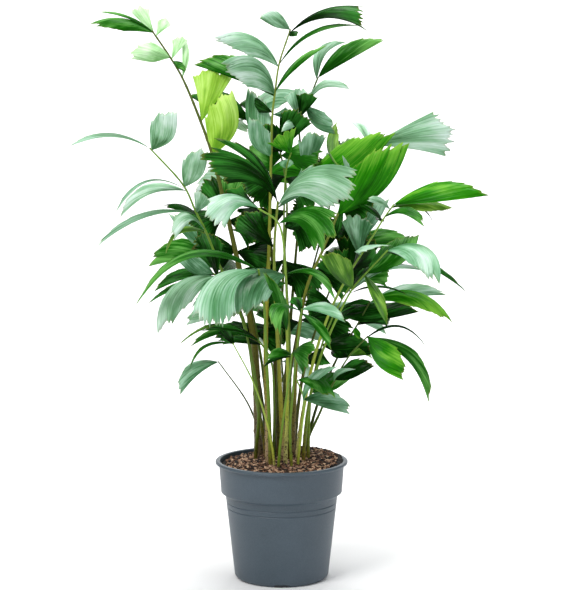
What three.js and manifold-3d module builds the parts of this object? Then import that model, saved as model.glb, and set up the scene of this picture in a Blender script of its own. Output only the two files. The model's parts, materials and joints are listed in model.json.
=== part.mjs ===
// Potted fishtail palm: a moulded grow pot, the growing mix in it, and the palm's stems and fronds.
// Millimetres, +Z up. The origin is the centre of the pot's underside, on the flat that it stands on.
import * as THREE from "three";
import { mergeVertices } from "three/addons/utils/BufferGeometryUtils.js";
import Module from "manifold-3d";

// Pot
const potHeight = 242;
const lipRadius = 135;
const lipDepth = 7;
const collarTopRadius = 127.5;
const collarBottomRadius = 123.5;
const collarHeight = 64;
const stepHeight = 6;
const neckRadius = 114.5;
const baseRadius = 96.5;
const baseEdge = 10;
const potWall = 2.2;
const floorThickness = 8;
const grooveDepth = 1;
const grooveWidth = 3;
const grooveDrops = [17, 28];
const channelDepth = 5.5;
const channelTopWidth = 25;
const channelFootWidth = 37;
const channelStart = 30;
const channelCount = 4;
const drainHoleRadius = 5;
const potSegments = 36;

// Growing mix
const soilGap = 0.5;
const soilDrop = 12;
const soilMound = 14;

// Palm: the fronds are drawn at drawnHeight and drawnSpread, and scaled to the sizes wanted
const foliageHeight = 925;
const foliageSpread = 870;
const drawnHeight = 925;
const drawnSpread = 870;
const rootDepth = 60;
const joinTolerance = 0.02;
const stemSides = 6;
const stemStep = 95;
const leafThickness = 1.6;
const leafInset = 1.5;
const leafPitch = 4;
const leafClearance = 0.8;
const wideLeaf = 45;
const narrowLeaf = 24;

// The outline of each form of leaflet: its short edge and its long edge, and the torn margin between them.
// First number: along the spine, 0 to 1. Second number: across it, in leaf widths.
const leafForms = {
  blade: { shortEdge: [[0.22, 0.3], [0.48, 0.5]], margin: [0.86, 0.5], longEdge: [[0.5, -0.98], [1, 0]] },
  strap: { shortEdge: [[0.28, 0.4], [0.6, 0.42]], margin: [0.9, 0.3], longEdge: [[0.5, -0.98], [1, 0]] },
  fan: { shortEdge: [[0.4, 0.2], [0.74, 0.5]], margin: [1.16, 0.05], longEdge: [[0.4, -0.28], [0.9, -0.5]] },
  tail: { shortEdge: [[0.45, 0.16], [0.86, 0.5]], margin: [0.84, 0], longEdge: [[0.5, -0.34], [1, -0.5]] },
};

// Each frond: the radii of its stem at the soil and at the tip, the joints that the stem passes through, as x,
// y and height above the pot's lip, and its leaflets: joint, tip x, tip y, tip height,
// width (negative on the other hand), arch, tilt in degrees (0 faces the front, 90 faces up) and form.
const fronds = {
  frond_fall: {
    stem: [5, 2],
    joints: [[-22, -54, 0], [-26, -54, 135], [-31, -72, 245], [-34, -110, 330], [-44, -158, 404]],
    leaves: [[4, -275, -210, 340, 30, 0.24, 55, "blade"], [4, -118, -300, 305, -90, 0.2, 10, "fan"]],
  },
  frond_front_dark: {
    stem: [6, 2.4],
    joints: [[3, -28, 0], [-5, -38, 200], [-12, -50, 335], [-14, -60, 440], [-7, -68, 530]],
    leaves: [
      [4, -150, -190, 605, -70, 0.12, 35, "fan"], [4, -130, -130, 655, 30, 0.12, 60, "blade"],
      [4, 135, -230, 540, -100, 0.17, 28, "fan"], [3, -85, -20, 505, 70, 0, 20, "fan"],
      [4, 80, -15, 595, 50, 0, 0, "fan"],
    ],
  },
  frond_front_left: {
    stem: [4.5, 1.8],
    joints: [[8, -52, 0], [12, -70, 150], [11, -85, 275], [8, -104, 390], [-6, -114, 490], [-45, -128, 520]],
    leaves: [
      [5, -135, -235, 495, 60, 0.2, 20, "fan"], [5, -110, -80, 555, 45, 0, 0, "fan"],
      [4, 90, -235, 455, 80, 0.22, 20, "fan"], [3, -95, -240, 320, -75, 0.1, 20, "blade"],
      [2, -35, -175, 400, 25, 0.05, 30, "blade"],
    ],
  },
  frond_young: {
    stem: [10, 1.8],
    joints: [
      [-47, 25, 0], [-50, 23, 120], [-56, 18, 240], [-84, 26, 380], [-117, 42, 525], [-141, 50, 620],
      [-164, 58, 685], [-202, 66, 775], [-226, 68, 815], [-262, 68, 868],
    ],
    leaves: [
      [9, -370, 60, 905, 12, 0.06, 60, "strap"], [9, -385, 40, 880, -30, 0.05, 30, "blade"],
      [9, -295, 100, 922, 35, 0, 0, "fan"], [9, -235, 115, 895, 30, 0, 10, "fan"],
      [8, -300, 20, 810, 45, 0.15, 20, "blade"], [8, -205, 115, 860, 30, 0, 0, "fan"],
      [7, -205, 135, 862, 16, 0.05, 30, "blade"], [8, -195, 60, 785, 16, 0.1, 30, "blade"],
      [6, -135, 80, 800, 80, 0, 0, "fan"], [5, -100, 60, 750, 70, 0, 0, "blade"],
    ],
  },
  frond_crown: {
    stem: [6.5, 1.7],
    joints: [
      [-27, -38, 0], [-29, -32, 120], [-32, -8, 240], [-25, 40, 445], [-21, 50, 620], [-18, 51, 705],
      [-13, 51, 745], [-5, 51, 800], [18, 42, 870],
    ],
    leaves: [
      [8, -45, 0, 890, 35, 0.12, 30, "blade"], [8, 30, 20, 855, 20, 0.05, 20, "blade"],
      [8, 185, -20, 885, 60, 0.14, 45, "tail"], [7, 155, 0, 875, 20, 0.12, 62, "strap"],
      [6, 90, -20, 835, 22, 0.06, 50, "blade"], [7, -135, 0, 850, -45, 0.1, 30, "blade"],
      [6, -120, -20, 800, -60, 0.1, 20, "blade"], [6, -180, 85, 800, 50, 0.14, 20, "blade"],
      [5, -90, 175, 720, 30, 0.05, 0, "blade"], [5, 25, 120, 700, 35, 0, 10, "fan"],
      [4, -70, 135, 755, 55, 0, 0, "blade"], [4, -65, 0, 695, 45, 0, 10, "blade"],
    ],
  },
  frond_right_pale: {
    stem: [6, 1.8],
    joints: [
      [22, 8, 0], [26, 8, 120], [33, 7, 245], [52, 8, 355], [82, 8, 425], [113, 0, 500], [143, -8, 575],
      [180, -8, 640],
    ],
    leaves: [
      [7, 350, 0, 660, 90, 0.04, 10, "fan"], [5, 250, -80, 645, 76, 0.03, 5, "blade"],
      [6, 115, 110, 685, 30, -0.15, 30, "blade"], [7, 140, 80, 685, 20, 0.1, 20, "blade"],
      [6, 120, -60, 620, 12, 0, 20, "strap"], [4, 125, 45, 505, 30, 0, 20, "blade"],
    ],
  },
  frond_right_high: {
    stem: [5, 1.7],
    joints: [
      [0, 32, 0], [5, 40, 115], [17, 65, 260], [30, 85, 420], [44, 94, 570], [37, 102, 695],
      [52, 102, 722], [75, 118, 775],
    ],
    leaves: [
      [7, 210, 100, 850, 36, 0.1, 20, "blade"], [7, 135, 195, 850, 25, 0.2, 40, "blade"],
      [6, 140, 60, 750, 26, 0.25, 50, "blade"], [6, 110, 80, 660, 36, 0, 0, "blade"],
      [5, 55, 60, 745, 45, 0, 10, "fan"], [5, 30, 175, 755, 60, 0, 0, "fan"],
      [4, 65, 20, 670, 55, 0, 0, "fan"], [4, 225, -60, 665, 65, 0, 10, "blade"],
      [5, 0, 20, 665, 20, 0.05, 20, "strap"],
    ],
  },
  frond_mid_green: {
    stem: [4.5, 1.6],
    joints: [
      [16, -18, 0], [17, -24, 170], [15, -37, 270], [9, -45, 385], [5, -48, 480], [10, -51, 595],
      [19, -60, 625],
    ],
    leaves: [
      [6, 0, -115, 665, 65, 0, 10, "fan"], [5, 10, 40, 610, 30, 0, 0, "blade"],
      [4, 45, -20, 490, 30, 0, 20, "blade"], [3, 105, -135, 340, 20, 0.2, 40, "blade"],
      [2, -30, 55, 315, 65, 0, 10, "fan"],
    ],
  },
  frond_left_reach: {
    stem: [5, 1.6],
    joints: [
      [-30, -8, 0], [-50, -16, 125], [-72, -15, 270], [-107, -42, 360], [-151, -68, 475], [-168, -76, 510],
      [-190, -85, 560], [-255, -102, 635],
    ],
    leaves: [
      [7, -405, -155, 640, 20, 0.12, 70, "strap"], [7, -200, -135, 705, 55, 0.05, 10, "blade"],
      [6, -140, -135, 630, 50, 0.08, 10, "blade"], [6, -315, -175, 515, 20, 0.2, 72, "strap"],
      [6, -315, -100, 500, 30, 0.2, 50, "blade"], [5, -150, -115, 550, 45, 0, 10, "fan"],
      [5, -350, -195, 450, 20, 0.1, 65, "strap"], [5, -235, -40, 520, -20, 0.05, 55, "blade"],
      [4, -205, -175, 460, 30, 0.3, 40, "blade"], [4, -230, -40, 425, 20, 0.25, 60, "blade"],
    ],
  },
  frond_left_mid: {
    stem: [4.5, 1.6],
    joints: [
      [-53, -5, 0], [-46, -41, 110], [-59, -52, 215], [-82, -63, 305], [-109, -76, 360],
      [-134, -85, 390],
    ],
    leaves: [
      [5, -200, -115, 415, 35, 0.05, 20, "blade"], [5, -250, -100, 355, 30, 0.14, 45, "blade"],
      [5, -235, -205, 285, -50, 0.12, 10, "blade"], [4, -265, -40, 325, 20, 0.12, 50, "blade"],
      [4, -180, -35, 315, 15, 0.1, 40, "blade"], [5, -145, -20, 470, 60, 0, 15, "fan"],
    ],
  },
  frond_right_mid: {
    stem: [5, 1.6],
    joints: [
      [32, -10, 0], [41, -15, 85], [65, -26, 210], [99, -48, 315], [136, -60, 390], [157, -68, 425],
      [182, -68, 465], [203, -76, 500], [221, -76, 525],
    ],
    leaves: [
      [8, 400, -135, 545, 45, 0.08, 30, "blade"], [8, 340, -60, 515, -30, 0.03, 30, "blade"],
      [8, 305, 0, 480, 16, 0.15, 65, "blade"], [7, 275, -155, 485, 26, 0.2, 45, "blade"],
      [8, 165, -135, 535, 20, 0.1, 45, "blade"], [7, 190, -20, 490, 20, 0, 20, "blade"],
      [7, 140, 0, 520, 20, 0.08, 50, "blade"], [5, 195, -235, 455, 55, 0.1, 20, "fan"],
      [4, 190, 40, 430, 65, 0, 10, "fan"], [5, 150, -20, 505, 65, 0, 0, "fan"],
    ],
  },
  frond_right_front: {
    stem: [4.5, 1.5],
    joints: [
      [44, -30, 0], [53, -46, 110], [72, -71, 205], [101, -98, 285], [139, -128, 365], [164, -136, 395],
      [205, -144, 440],
    ],
    leaves: [
      [6, 295, -255, 385, -50, 0.16, 20, "blade"], [6, 360, -115, 355, 20, 0.06, 60, "blade"],
      [5, 270, -80, 465, 55, 0, 20, "blade"], [4, 70, -235, 440, 45, 0.08, 10, "blade"],
      [5, 200, -215, 305, 25, 0.05, 10, "strap"], [4, 210, -40, 395, 30, 0.1, 45, "blade"],
      [4, 285, -115, 395, 16, 0.15, 60, "strap"], [4, 240, -150, 355, 12, 0.1, 70, "strap"],
    ],
  },
  frond_right_arch: {
    stem: [4.5, 1.5],
    joints: [[50, 50, 0], [70, 20, 100], [98, 10, 175], [124, 2, 230], [155, 0, 280], [178, -8, 325]],
    leaves: [
      [5, 335, -105, 295, -36, 0.14, 30, "blade"], [5, 335, 20, 335, 30, 0.1, 30, "blade"],
      [4, 280, 25, 300, 36, 0.1, 40, "blade"], [4, 225, 75, 280, 36, 0.05, 30, "fan"],
      [4, 155, -20, 250, 16, 0, 20, "blade"], [5, 100, -85, 285, 20, 0.1, 55, "blade"],
    ],
  },
  frond_right_droop: {
    stem: [4, 1.4],
    joints: [[40, 22, 0], [78, -14, 100], [108, -30, 170], [137, -35, 220], [173, -43, 260]],
    leaves: [
      [4, 240, -100, 180, 55, 0.05, 10, "blade"], [4, 295, -50, 125, 30, 0.2, 45, "blade"],
      [4, 290, -30, 235, 12, 0.25, 65, "strap"], [2, 185, -80, 205, 45, 0.1, 40, "blade"],
      [3, 185, 5, 205, 20, 0.2, 45, "blade"], [3, 100, 20, 220, 30, 0.05, 40, "blade"],
      [2, 145, -120, 205, 12, 0.12, 20, "strap"],
    ],
  },
  frond_low_right: {
    stem: [3.5, 1.6],
    joints: [[33, -50, 0], [40, -66, 75], [44, -88, 140], [30, -115, 183]],
    leaves: [
      [3, 104, -186, 158, -28, 0.1, 30, "blade"], [2, 135, -120, 115, 38, 0.15, 25, "blade"],
      [2, 110, -180, 220, 20, 0.12, 30, "blade"],
    ],
  },
  frond_front_small: {
    stem: [3.5, 1.4],
    joints: [[20, -68, 0], [17, -72, 75], [23, -96, 160], [30, -136, 245], [39, -180, 330]],
    leaves: [
      [4, 120, -270, 315, 26, 0.12, 35, "blade"], [4, 0, -295, 290, 30, 0.3, 40, "blade"],
      [4, 95, -210, 255, 20, 0.1, 30, "blade"], [4, 20, -140, 350, 26, 0.1, 20, "fan"],
    ],
  },
  frond_front_gloss: {
    stem: [3.5, 1.4],
    joints: [[-6, -75, 0], [0, -76, 70], [9, -96, 140], [21, -140, 240]],
    leaves: [
      [3, 55, -220, 235, 70, 0.1, 25, "fan"], [3, -30, -200, 235, 20, 0.12, 30, "blade"],
      [3, -35, -100, 205, 12, 0.1, 50, "blade"],
    ],
  },
  frond_low_left: {
    stem: [3.8, 1.6],
    joints: [[-16, -20, 0], [-15, -34, 130], [-22, -50, 215], [-46, -64, 255]],
    leaves: [
      [3, -155, -155, 285, 20, 0.08, 65, "blade"], [3, -180, -95, 245, 20, 0.18, 55, "blade"],
      [3, -205, -30, 240, 12, 0.2, 65, "strap"], [3, -130, 0, 245, 20, 0.05, 45, "blade"],
    ],
  },
  frond_low_thin: {
    stem: [3, 1.2],
    joints: [[-14, -66, 0], [-27, -88, 85], [-55, -104, 175], [-95, -115, 255]],
    leaves: [[3, -180, -105, 205, 12, 0.2, 65, "strap"], [3, -145, -50, 285, 26, 0.1, 40, "blade"]],
  },
  frond_low_dark: {
    stem: [3, 1.2],
    joints: [[-40, 52, 0], [-50, 50, 55], [-70, 40, 110], [-129, 15, 200]],
    leaves: [[3, -205, -15, 135, 32, 0.2, 35, "blade"]],
  },
  frond_inner_left: {
    stem: [4.5, 1.6],
    joints: [[-24, 18, 0], [-36, 32, 160], [-52, 40, 260], [-71, 55, 340], [-94, 70, 425], [-114, 80, 495]],
    leaves: [
      [5, -180, 40, 460, 98, 0.1, 20, "fan"], [5, -160, 110, 570, 68, 0.05, 10, "fan"],
      [5, -85, 60, 575, 68, 0.05, 10, "fan"], [5, -35, 40, 460, 92, 0.08, 20, "fan"],
      [4, -175, 10, 400, 82, 0.12, 20, "blade"], [4, -20, 30, 400, 92, 0.05, 10, "fan"],
      [3, -160, 20, 320, 92, 0.1, 20, "fan"], [3, 5, 20, 335, 92, 0.05, 15, "fan"],
      [2, -135, 0, 250, 45, 0.12, 30, "blade"], [2, 5, 30, 240, 76, 0.05, 15, "fan"],
    ],
  },
  frond_inner_tall: {
    stem: [5, 1.8],
    joints: [
      [-6, 8, 0], [-7, 15, 160], [-1, 30, 285], [5, 45, 405], [11, 60, 505], [7, 75, 575],
      [-3, 85, 625],
    ],
    leaves: [
      [6, -50, 60, 675, 62, 0.05, 10, "blade"], [6, 40, 60, 710, 68, 0.05, 10, "fan"],
      [6, 80, 40, 610, 98, 0.05, 10, "fan"], [6, -75, 100, 605, 76, 0.08, 20, "blade"],
      [5, -70, 40, 530, 105, 0.08, 20, "fan"], [5, 80, 40, 525, 105, 0.08, 20, "fan"],
      [4, -80, 60, 450, 105, 0.08, 20, "fan"], [4, 85, 30, 440, 105, 0.08, 20, "fan"],
      [3, -65, 30, 335, 98, 0.08, 20, "fan"], [3, 75, 30, 335, 92, 0.08, 20, "fan"],
    ],
  },
  frond_inner_right: {
    stem: [4.5, 1.6],
    joints: [[14, 44, 0], [17, 55, 155], [38, 65, 280], [63, 75, 380], [89, 85, 475], [108, 90, 545]],
    leaves: [
      [5, 190, 60, 595, 92, 0.05, 15, "fan"], [5, 140, 100, 650, 68, 0.05, 10, "blade"],
      [5, 60, 110, 610, 76, 0.05, 10, "fan"], [5, 180, 60, 495, 98, 0.08, 20, "fan"],
      [4, 170, 40, 435, 98, 0.08, 20, "fan"], [4, 15, 60, 475, 98, 0.08, 20, "fan"],
      [3, 155, 40, 355, 92, 0.08, 20, "fan"], [3, 5, 60, 360, 98, 0.08, 20, "fan"],
      [2, 145, 40, 255, 76, 0.08, 20, "fan"], [2, -25, 50, 250, 76, 0.08, 20, "fan"],
    ],
  },
  frond_inner_low: {
    stem: [4, 1.5],
    joints: [[54, -12, 0], [60, -8, 140], [82, 8, 235], [111, 20, 305], [143, 22, 360]],
    leaves: [
      [4, 220, 0, 390, 68, 0.08, 20, "fan"], [4, 165, 30, 465, 92, 0.03, 10, "fan"],
      [4, 90, 20, 425, 76, 0.03, 10, "fan"], [3, 45, -10, 325, 76, 0.08, 20, "fan"],
      [3, 215, -10, 290, 50, 0.1, 25, "blade"], [2, 185, -20, 220, 50, 0.1, 25, "blade"],
      [2, 70, -25, 195, 62, 0.08, 20, "fan"], [1, 140, -20, 170, 40, 0.1, 25, "blade"],
    ],
  },
  frond_back_high: {
    stem: [6, 1.8],
    joints: [[-10, 66, 0], [-14, 90, 200], [-20, 130, 400], [-40, 175, 560], [-70, 235, 690]],
    leaves: [
      [4, -90, 400, 660, 80, 0.15, 20, "fan"], [4, -200, 260, 740, 50, 0.1, 20, "blade"],
      [4, 40, 330, 750, -50, 0.1, 20, "blade"], [3, -190, 270, 520, 60, 0.15, 20, "blade"],
      [3, 90, 280, 560, -60, 0.12, 20, "blade"],
    ],
  },
  frond_back_left: {
    stem: [5, 1.6],
    joints: [[-30, 78, 0], [-50, 100, 160], [-90, 140, 300], [-140, 200, 400]],
    leaves: [
      [3, -290, 270, 370, 50, 0.15, 30, "blade"], [3, -160, 350, 360, -70, 0.2, 20, "fan"],
      [3, -240, 190, 490, 40, 0.05, 20, "blade"], [2, -200, 120, 260, 40, 0.12, 30, "blade"],
      [2, -40, 280, 270, -50, 0.15, 20, "blade"],
    ],
  },
  frond_back_right: {
    stem: [5, 1.6],
    joints: [[26, 70, 0], [45, 100, 160], [90, 150, 300], [140, 205, 420]],
    leaves: [
      [3, 300, 250, 400, 50, 0.15, 30, "blade"], [3, 150, 360, 390, -70, 0.2, 20, "fan"],
      [3, 230, 220, 520, 45, 0.05, 20, "blade"], [2, 220, 130, 240, 40, 0.12, 30, "blade"],
      [2, 50, 290, 250, -50, 0.15, 20, "blade"],
    ],
  },
  frond_back_low: {
    stem: [4, 1.5],
    joints: [[4, 84, 0], [5, 115, 100], [0, 160, 180], [-5, 215, 240]],
    leaves: [
      [3, -20, 350, 170, 70, 0.15, 20, "fan"], [3, -130, 260, 200, 40, 0.1, 30, "blade"],
      [3, 110, 260, 210, -40, 0.1, 30, "blade"], [2, 60, 250, 110, -30, 0.15, 30, "blade"],
    ],
  },
};

const wasm = await Module();
wasm.setup();

const finishes = {
  pot: new THREE.MeshStandardMaterial({ color: 0x4e5a62, roughness: 0.5, metalness: 0 }),
  soil: new THREE.MeshStandardMaterial({ color: 0x5a3d30, roughness: 1, metalness: 0 }),
  frond: new THREE.MeshStandardMaterial({ color: 0x3f7a3a, roughness: 0.4, metalness: 0 }),
};

// A closed geometry as a solid that can be cut and joined.
function solidOf(geometry) {
  const bare = geometry.clone();
  bare.deleteAttribute("normal");
  bare.deleteAttribute("uv");
  const merged = mergeVertices(bare, 1e-4);
  const solid = new wasm.Manifold(
    new wasm.Mesh({
      numProp: 3,
      vertProperties: new Float32Array(merged.attributes.position.array),
      triVerts: new Uint32Array(merged.index.array),
    }),
  );
  return solid.setTolerance(joinTolerance);
}

function meshOf(name, solid, finish) {
  const { numProp, vertProperties, triVerts } = solid.getMesh();
  const geometry = new THREE.BufferGeometry();
  geometry.setAttribute("position", new THREE.BufferAttribute(vertProperties, numProp));
  geometry.setIndex(new THREE.BufferAttribute(triVerts, 1));
  geometry.computeVertexNormals();
  const mesh = new THREE.Mesh(geometry, finish);
  mesh.name = name;
  return mesh;
}

// A closed skin over a row of rings, each with the same even number of points. Its ends are closed across the
// ring.
function loft(rings) {
  const count = rings[0].length;
  const index = [];
  const quad = (a, b, c, d) => index.push(a, b, c, a, c, d);
  for (let ring = 0; ring < rings.length - 1; ring++) {
    for (let i = 0; i < count; i++) {
      const next = (i + 1) % count;
      quad(ring * count + i, ring * count + next, (ring + 1) * count + next, (ring + 1) * count + i);
    }
  }
  const last = (rings.length - 1) * count;
  for (let i = 0; i < count / 2 - 1; i++) {
    quad(i + 1, i, count - 1 - i, count - 2 - i);
    quad(last + i, last + i + 1, last + count - 2 - i, last + count - 1 - i);
  }
  const geometry = new THREE.BufferGeometry().setFromPoints(rings.flat());
  geometry.setIndex(index);
  return geometry;
}

// A closed sheet between two matching grids of points, split along the same diagonals so that it keeps its
// thickness.
function sheet(top, bottom, columns) {
  const under = top.length;
  const index = [];
  const wall = (a, b) => index.push(a, b, b + under, a, b + under, a + under);
  for (let a = 0; a < under - columns; a++) {
    if (a % columns === columns - 1) continue;
    const [b, c, d] = [a + 1, a + columns, a + columns + 1];
    index.push(a, b, d, a, d, c);
    index.push(a + under, d + under, b + under, a + under, c + under, d + under);
  }
  for (let i = 0; i < columns - 1; i++) {
    wall(i + 1, i);
    wall(under - columns + i, under - columns + i + 1);
  }
  for (let i = 0; i < under - columns; i += columns) {
    wall(i, i + columns);
    wall(i + 2 * columns - 1, i + columns - 1);
  }
  const geometry = new THREE.BufferGeometry().setFromPoints([...top, ...bottom]);
  geometry.setIndex(index);
  return geometry;
}

// The outer and inner profile of the pot, each from its underside or floor up to the lip.
function potProfile() {
  const neckTop = potHeight - collarHeight - stepHeight;
  const slope = (neckRadius - baseRadius) / (neckTop - baseEdge);
  const bodyRadius = (z) => baseRadius + slope * (z - baseEdge);
  const outer = [[0, 0]];
  for (const angle of [0, 30, 60, 90]) {
    const turn = THREE.MathUtils.degToRad(angle);
    outer.push([baseRadius - baseEdge * (1 - Math.sin(turn)), baseEdge * (1 - Math.cos(turn))]);
  }
  for (const drop of [...grooveDrops].reverse()) {
    const z = neckTop - drop + grooveWidth;
    outer.push([bodyRadius(z - grooveWidth / 2), z - grooveWidth / 2]);
    outer.push([bodyRadius(z) - grooveDepth, z]);
    outer.push([bodyRadius(z + grooveWidth / 2), z + grooveWidth / 2]);
  }
  outer.push([neckRadius, neckTop]);
  outer.push([collarBottomRadius, neckTop + stepHeight]);
  outer.push([collarTopRadius, potHeight - lipDepth]);
  outer.push([lipRadius - 1, potHeight - lipDepth]);
  outer.push([lipRadius, potHeight - lipDepth / 2]);
  outer.push([lipRadius - 2, potHeight]);
  const inner = [
    [0, floorThickness],
    [baseRadius - potWall, floorThickness],
    [neckRadius - potWall, neckTop],
    [collarBottomRadius - potWall, neckTop + stepHeight],
    [collarTopRadius - potWall, potHeight - lipDepth],
    [collarTopRadius - potWall, potHeight],
  ];
  return { outer, inner };
}

function lathe(profile) {
  return solidOf(new THREE.LatheGeometry(profile.map(([r, z]) => new THREE.Vector2(r, z)), potSegments)
    .rotateX(Math.PI / 2));
}

// One drain channel, cut up into the foot and out through its edge.
function drainChannel(turn) {
  const lowHalf = channelFootWidth - channelTopWidth / 2;
  const shape = new THREE.Shape();
  shape.moveTo(-lowHalf, -channelDepth);
  shape.lineTo(lowHalf, -channelDepth);
  shape.lineTo(channelTopWidth / 2, channelDepth);
  shape.lineTo(-channelTopWidth / 2, channelDepth);
  const bar = new THREE.ExtrudeGeometry(shape, { depth: baseRadius, bevelEnabled: false });
  bar.rotateX(Math.PI / 2).translate(0, -channelStart, 0).rotateZ(turn);
  return solidOf(bar);
}

function drainHole(turn) {
  const hole = new THREE.CylinderGeometry(drainHoleRadius, drainHoleRadius, floorThickness * 3, 8);
  hole.rotateX(Math.PI / 2).translate(0, baseEdge + drainHoleRadius - baseRadius, 0).rotateZ(turn);
  return solidOf(hole);
}

function makePot() {
  const { outer, inner } = potProfile();
  let pot = lathe([...outer, ...inner.reverse()]);
  for (let i = 0; i < channelCount; i++) {
    const turn = (i / channelCount) * 2 * Math.PI;
    pot = pot.subtract(drainChannel(turn)).subtract(drainHole(turn));
  }
  return pot;
}

// The growing mix fills the pot with a small gap, and every stem stands in a socket of its own.
function makeSoil(sockets) {
  const { inner } = potProfile();
  const wall = inner.slice(1, -1).map(([r, z]) => [r - soilGap, z + (z === floorThickness ? soilGap : 0)]);
  const topEdge = wall.pop();
  const edgeRadius = topEdge[0];
  const edgeHeight = potHeight - soilDrop;
  const profile = [[0, floorThickness + soilGap], ...wall, [edgeRadius - 1, edgeHeight]];
  for (const share of [0.8, 0.55, 0.3, 0]) {
    profile.push([edgeRadius * share, edgeHeight + soilMound * (1 - share * share)]);
  }
  return lathe(profile).subtract(sockets);
}

// A point drawn as x, y and height above the lip, at the palm's real size.
function place([x, y, z]) {
  const spread = foliageSpread / drawnSpread;
  return new THREE.Vector3(x * spread, y * spread, potHeight + (z * foliageHeight) / drawnHeight);
}

function jointsOf(frond) {
  return frond.joints.map(place);
}

// A stem: a tapered rod through its joints, from its root in the growing mix to its tip.
function stemSolid(frond, clearance) {
  const joints = jointsOf(frond);
  const root = joints[0].clone().setZ(joints[0].z - rootDepth);
  const path = new THREE.CatmullRomCurve3([root, ...joints], false, "centripetal");
  const steps = Math.max(4, Math.round(path.getLength() / stemStep));
  const { normals, binormals } = path.computeFrenetFrames(steps, false);
  const [rootRadius, tipRadius] = frond.stem;
  const rings = [];
  for (let step = 0; step <= steps; step++) {
    const along = step / steps;
    const radius = tipRadius + (rootRadius - tipRadius) * (1 - along) ** 1.3 + clearance;
    const end = step === 0 ? -1 : Number(step === steps);
    const centre = path.getPointAt(along).addScaledVector(path.getTangentAt(along), end * clearance);
    const ring = [];
    for (let side = 0; side < stemSides; side++) {
      const turn = (side / stemSides) * 2 * Math.PI;
      ring.push(centre.clone()
        .addScaledVector(normals[step], radius * Math.cos(turn))
        .addScaledVector(binormals[step], radius * Math.sin(turn)));
    }
    rings.push(ring);
  }
  return solidOf(loft(rings));
}

// The directions of a leaflet: along it, up from it, out of its upper face and across it.
function leafAxes(base, tip, tiltDegrees) {
  const along = tip.clone().sub(base).normalize();
  const front = new THREE.Vector3(0, -1, 0);
  if (Math.abs(along.dot(front)) > 0.92) front.set(0, 0, 1);
  const face = front.clone().addScaledVector(along, -front.dot(along)).normalize();
  const up = along.clone().cross(face);
  if (up.z < 0) up.negate();
  const tilt = THREE.MathUtils.degToRad(tiltDegrees);
  const normal = face.clone().multiplyScalar(Math.cos(tilt)).addScaledVector(up, Math.sin(tilt));
  const across = up.clone().multiplyScalar(Math.cos(tilt)).addScaledVector(face, -Math.sin(tilt));
  return { along, up, normal, across };
}

// Leaflets of one joint leave the stem one below another.
function leafBase(frond, leaf) {
  const joints = jointsOf(frond);
  const [joint] = leaf;
  const order = frond.leaves.filter((other) => other[0] === joint).indexOf(leaf);
  const down = joints[joint - 1].clone().sub(joints[joint]).normalize();
  return joints[joint].clone().addScaledVector(down, leafInset + order * leafPitch);
}

function bezier(a, b, c, t) {
  return a.map((value, i) => (1 - t) ** 2 * value + 2 * t * (1 - t) * b[i] + t * t * c[i]);
}

// A leaflet: ribs that fan out from its base to its torn margin, on an arched and cupped sheet.
function leafSolid(frond, leaf, clearance) {
  const [joint, x, y, z, signedWidth, arch, tilt, formName] = leaf;
  const base = leafBase(frond, leaf);
  const tip = place([x, y, z]);
  const { up, normal, across } = leafAxes(base, tip, tilt);
  const length = tip.distanceTo(base);
  const bend = base.clone().add(tip).multiplyScalar(0.5)
    .addScaledVector(up, 2 * arch * length).addScaledVector(normal, 0.1 * length);
  const spine = new THREE.QuadraticBezierCurve3(base, bend, tip);
  const form = leafForms[formName];
  const ribs = Math.abs(signedWidth) >= wideLeaf ? 5 : 3;
  const reaches = Math.abs(signedWidth) <= narrowLeaf ? [0, 0.5, 1] : [0, 0.35, 0.7, 1];
  const half = leafThickness / 2 + clearance;
  const grow = 1 + (clearance * 2) / length;
  const upper = [];
  const lower = [];
  for (const reach of reaches) {
    for (let rib = 0; rib < ribs; rib++) {
      const share = rib / (ribs - 1);
      const edge = bezier(form.shortEdge[1], form.margin, form.longEdge[1], share);
      const bow = [0, 1].map((i) => form.shortEdge[0][i] * (1 - share) + form.longEdge[0][i] * share);
      const [distance, offset] = bezier([0, 0], bow, edge, reach);
      const at = Math.min(distance * grow, 1.1);
      const centre = spine.getPoint(Math.min(at, 1));
      const heading = spine.getTangent(Math.min(at, 1));
      centre.addScaledVector(heading, Math.max(at - 1, 0) * length);
      const face = normal.clone().addScaledVector(heading, -normal.dot(heading)).normalize();
      const side = face.clone().cross(heading);
      if (side.dot(across) < 0) side.negate();
      const stalk = (share - 0.5) * -(2.4 + clearance) * Math.sign(signedWidth);
      centre.addScaledVector(side, offset * signedWidth * grow + stalk);
      centre.addScaledVector(face, -Math.abs(offset * signedWidth) * 0.25);
      upper.push(centre.clone().addScaledVector(face, half));
      lower.push(centre.clone().addScaledVector(face, -half));
    }
  }
  const solid = solidOf(sheet(upper, lower, ribs));
  return solid.volume() < 0 ? solidOf(sheet(lower, upper, ribs)) : solid;
}

const join = (solids) => solids.reduce((sum, solid) => sum.add(solid));

// One frond: its leaflets clear the solids already taken, and all that stays joined to the stem is kept.
function frondSolid(frond, taken) {
  const stem = stemSolid(frond, 0);
  const blades = frond.leaves.map((leaf) => leafSolid(frond, leaf, 0).subtract(taken));
  const bodies = join([stem, ...blades]).decompose();
  return bodies.reduce((largest, body) => (body.volume() > largest.volume() ? body : largest));
}

function makePalm() {
  const names = Object.keys(fronds);
  const widened = names.map((name) => stemSolid(fronds[name], leafClearance));
  let earlierBlades = null;
  return names.map((name, i) => {
    const frond = fronds[name];
    const otherStems = join(widened.filter((_, other) => other !== i));
    const taken = earlierBlades ? otherStems.add(earlierBlades) : otherStems;
    const solid = frondSolid(frond, taken);
    const blades = join(frond.leaves.map((leaf) => leafSolid(frond, leaf, leafClearance)));
    earlierBlades = earlierBlades ? earlierBlades.add(blades) : blades;
    return meshOf(name, solid, finishes.frond);
  });
}

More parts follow.
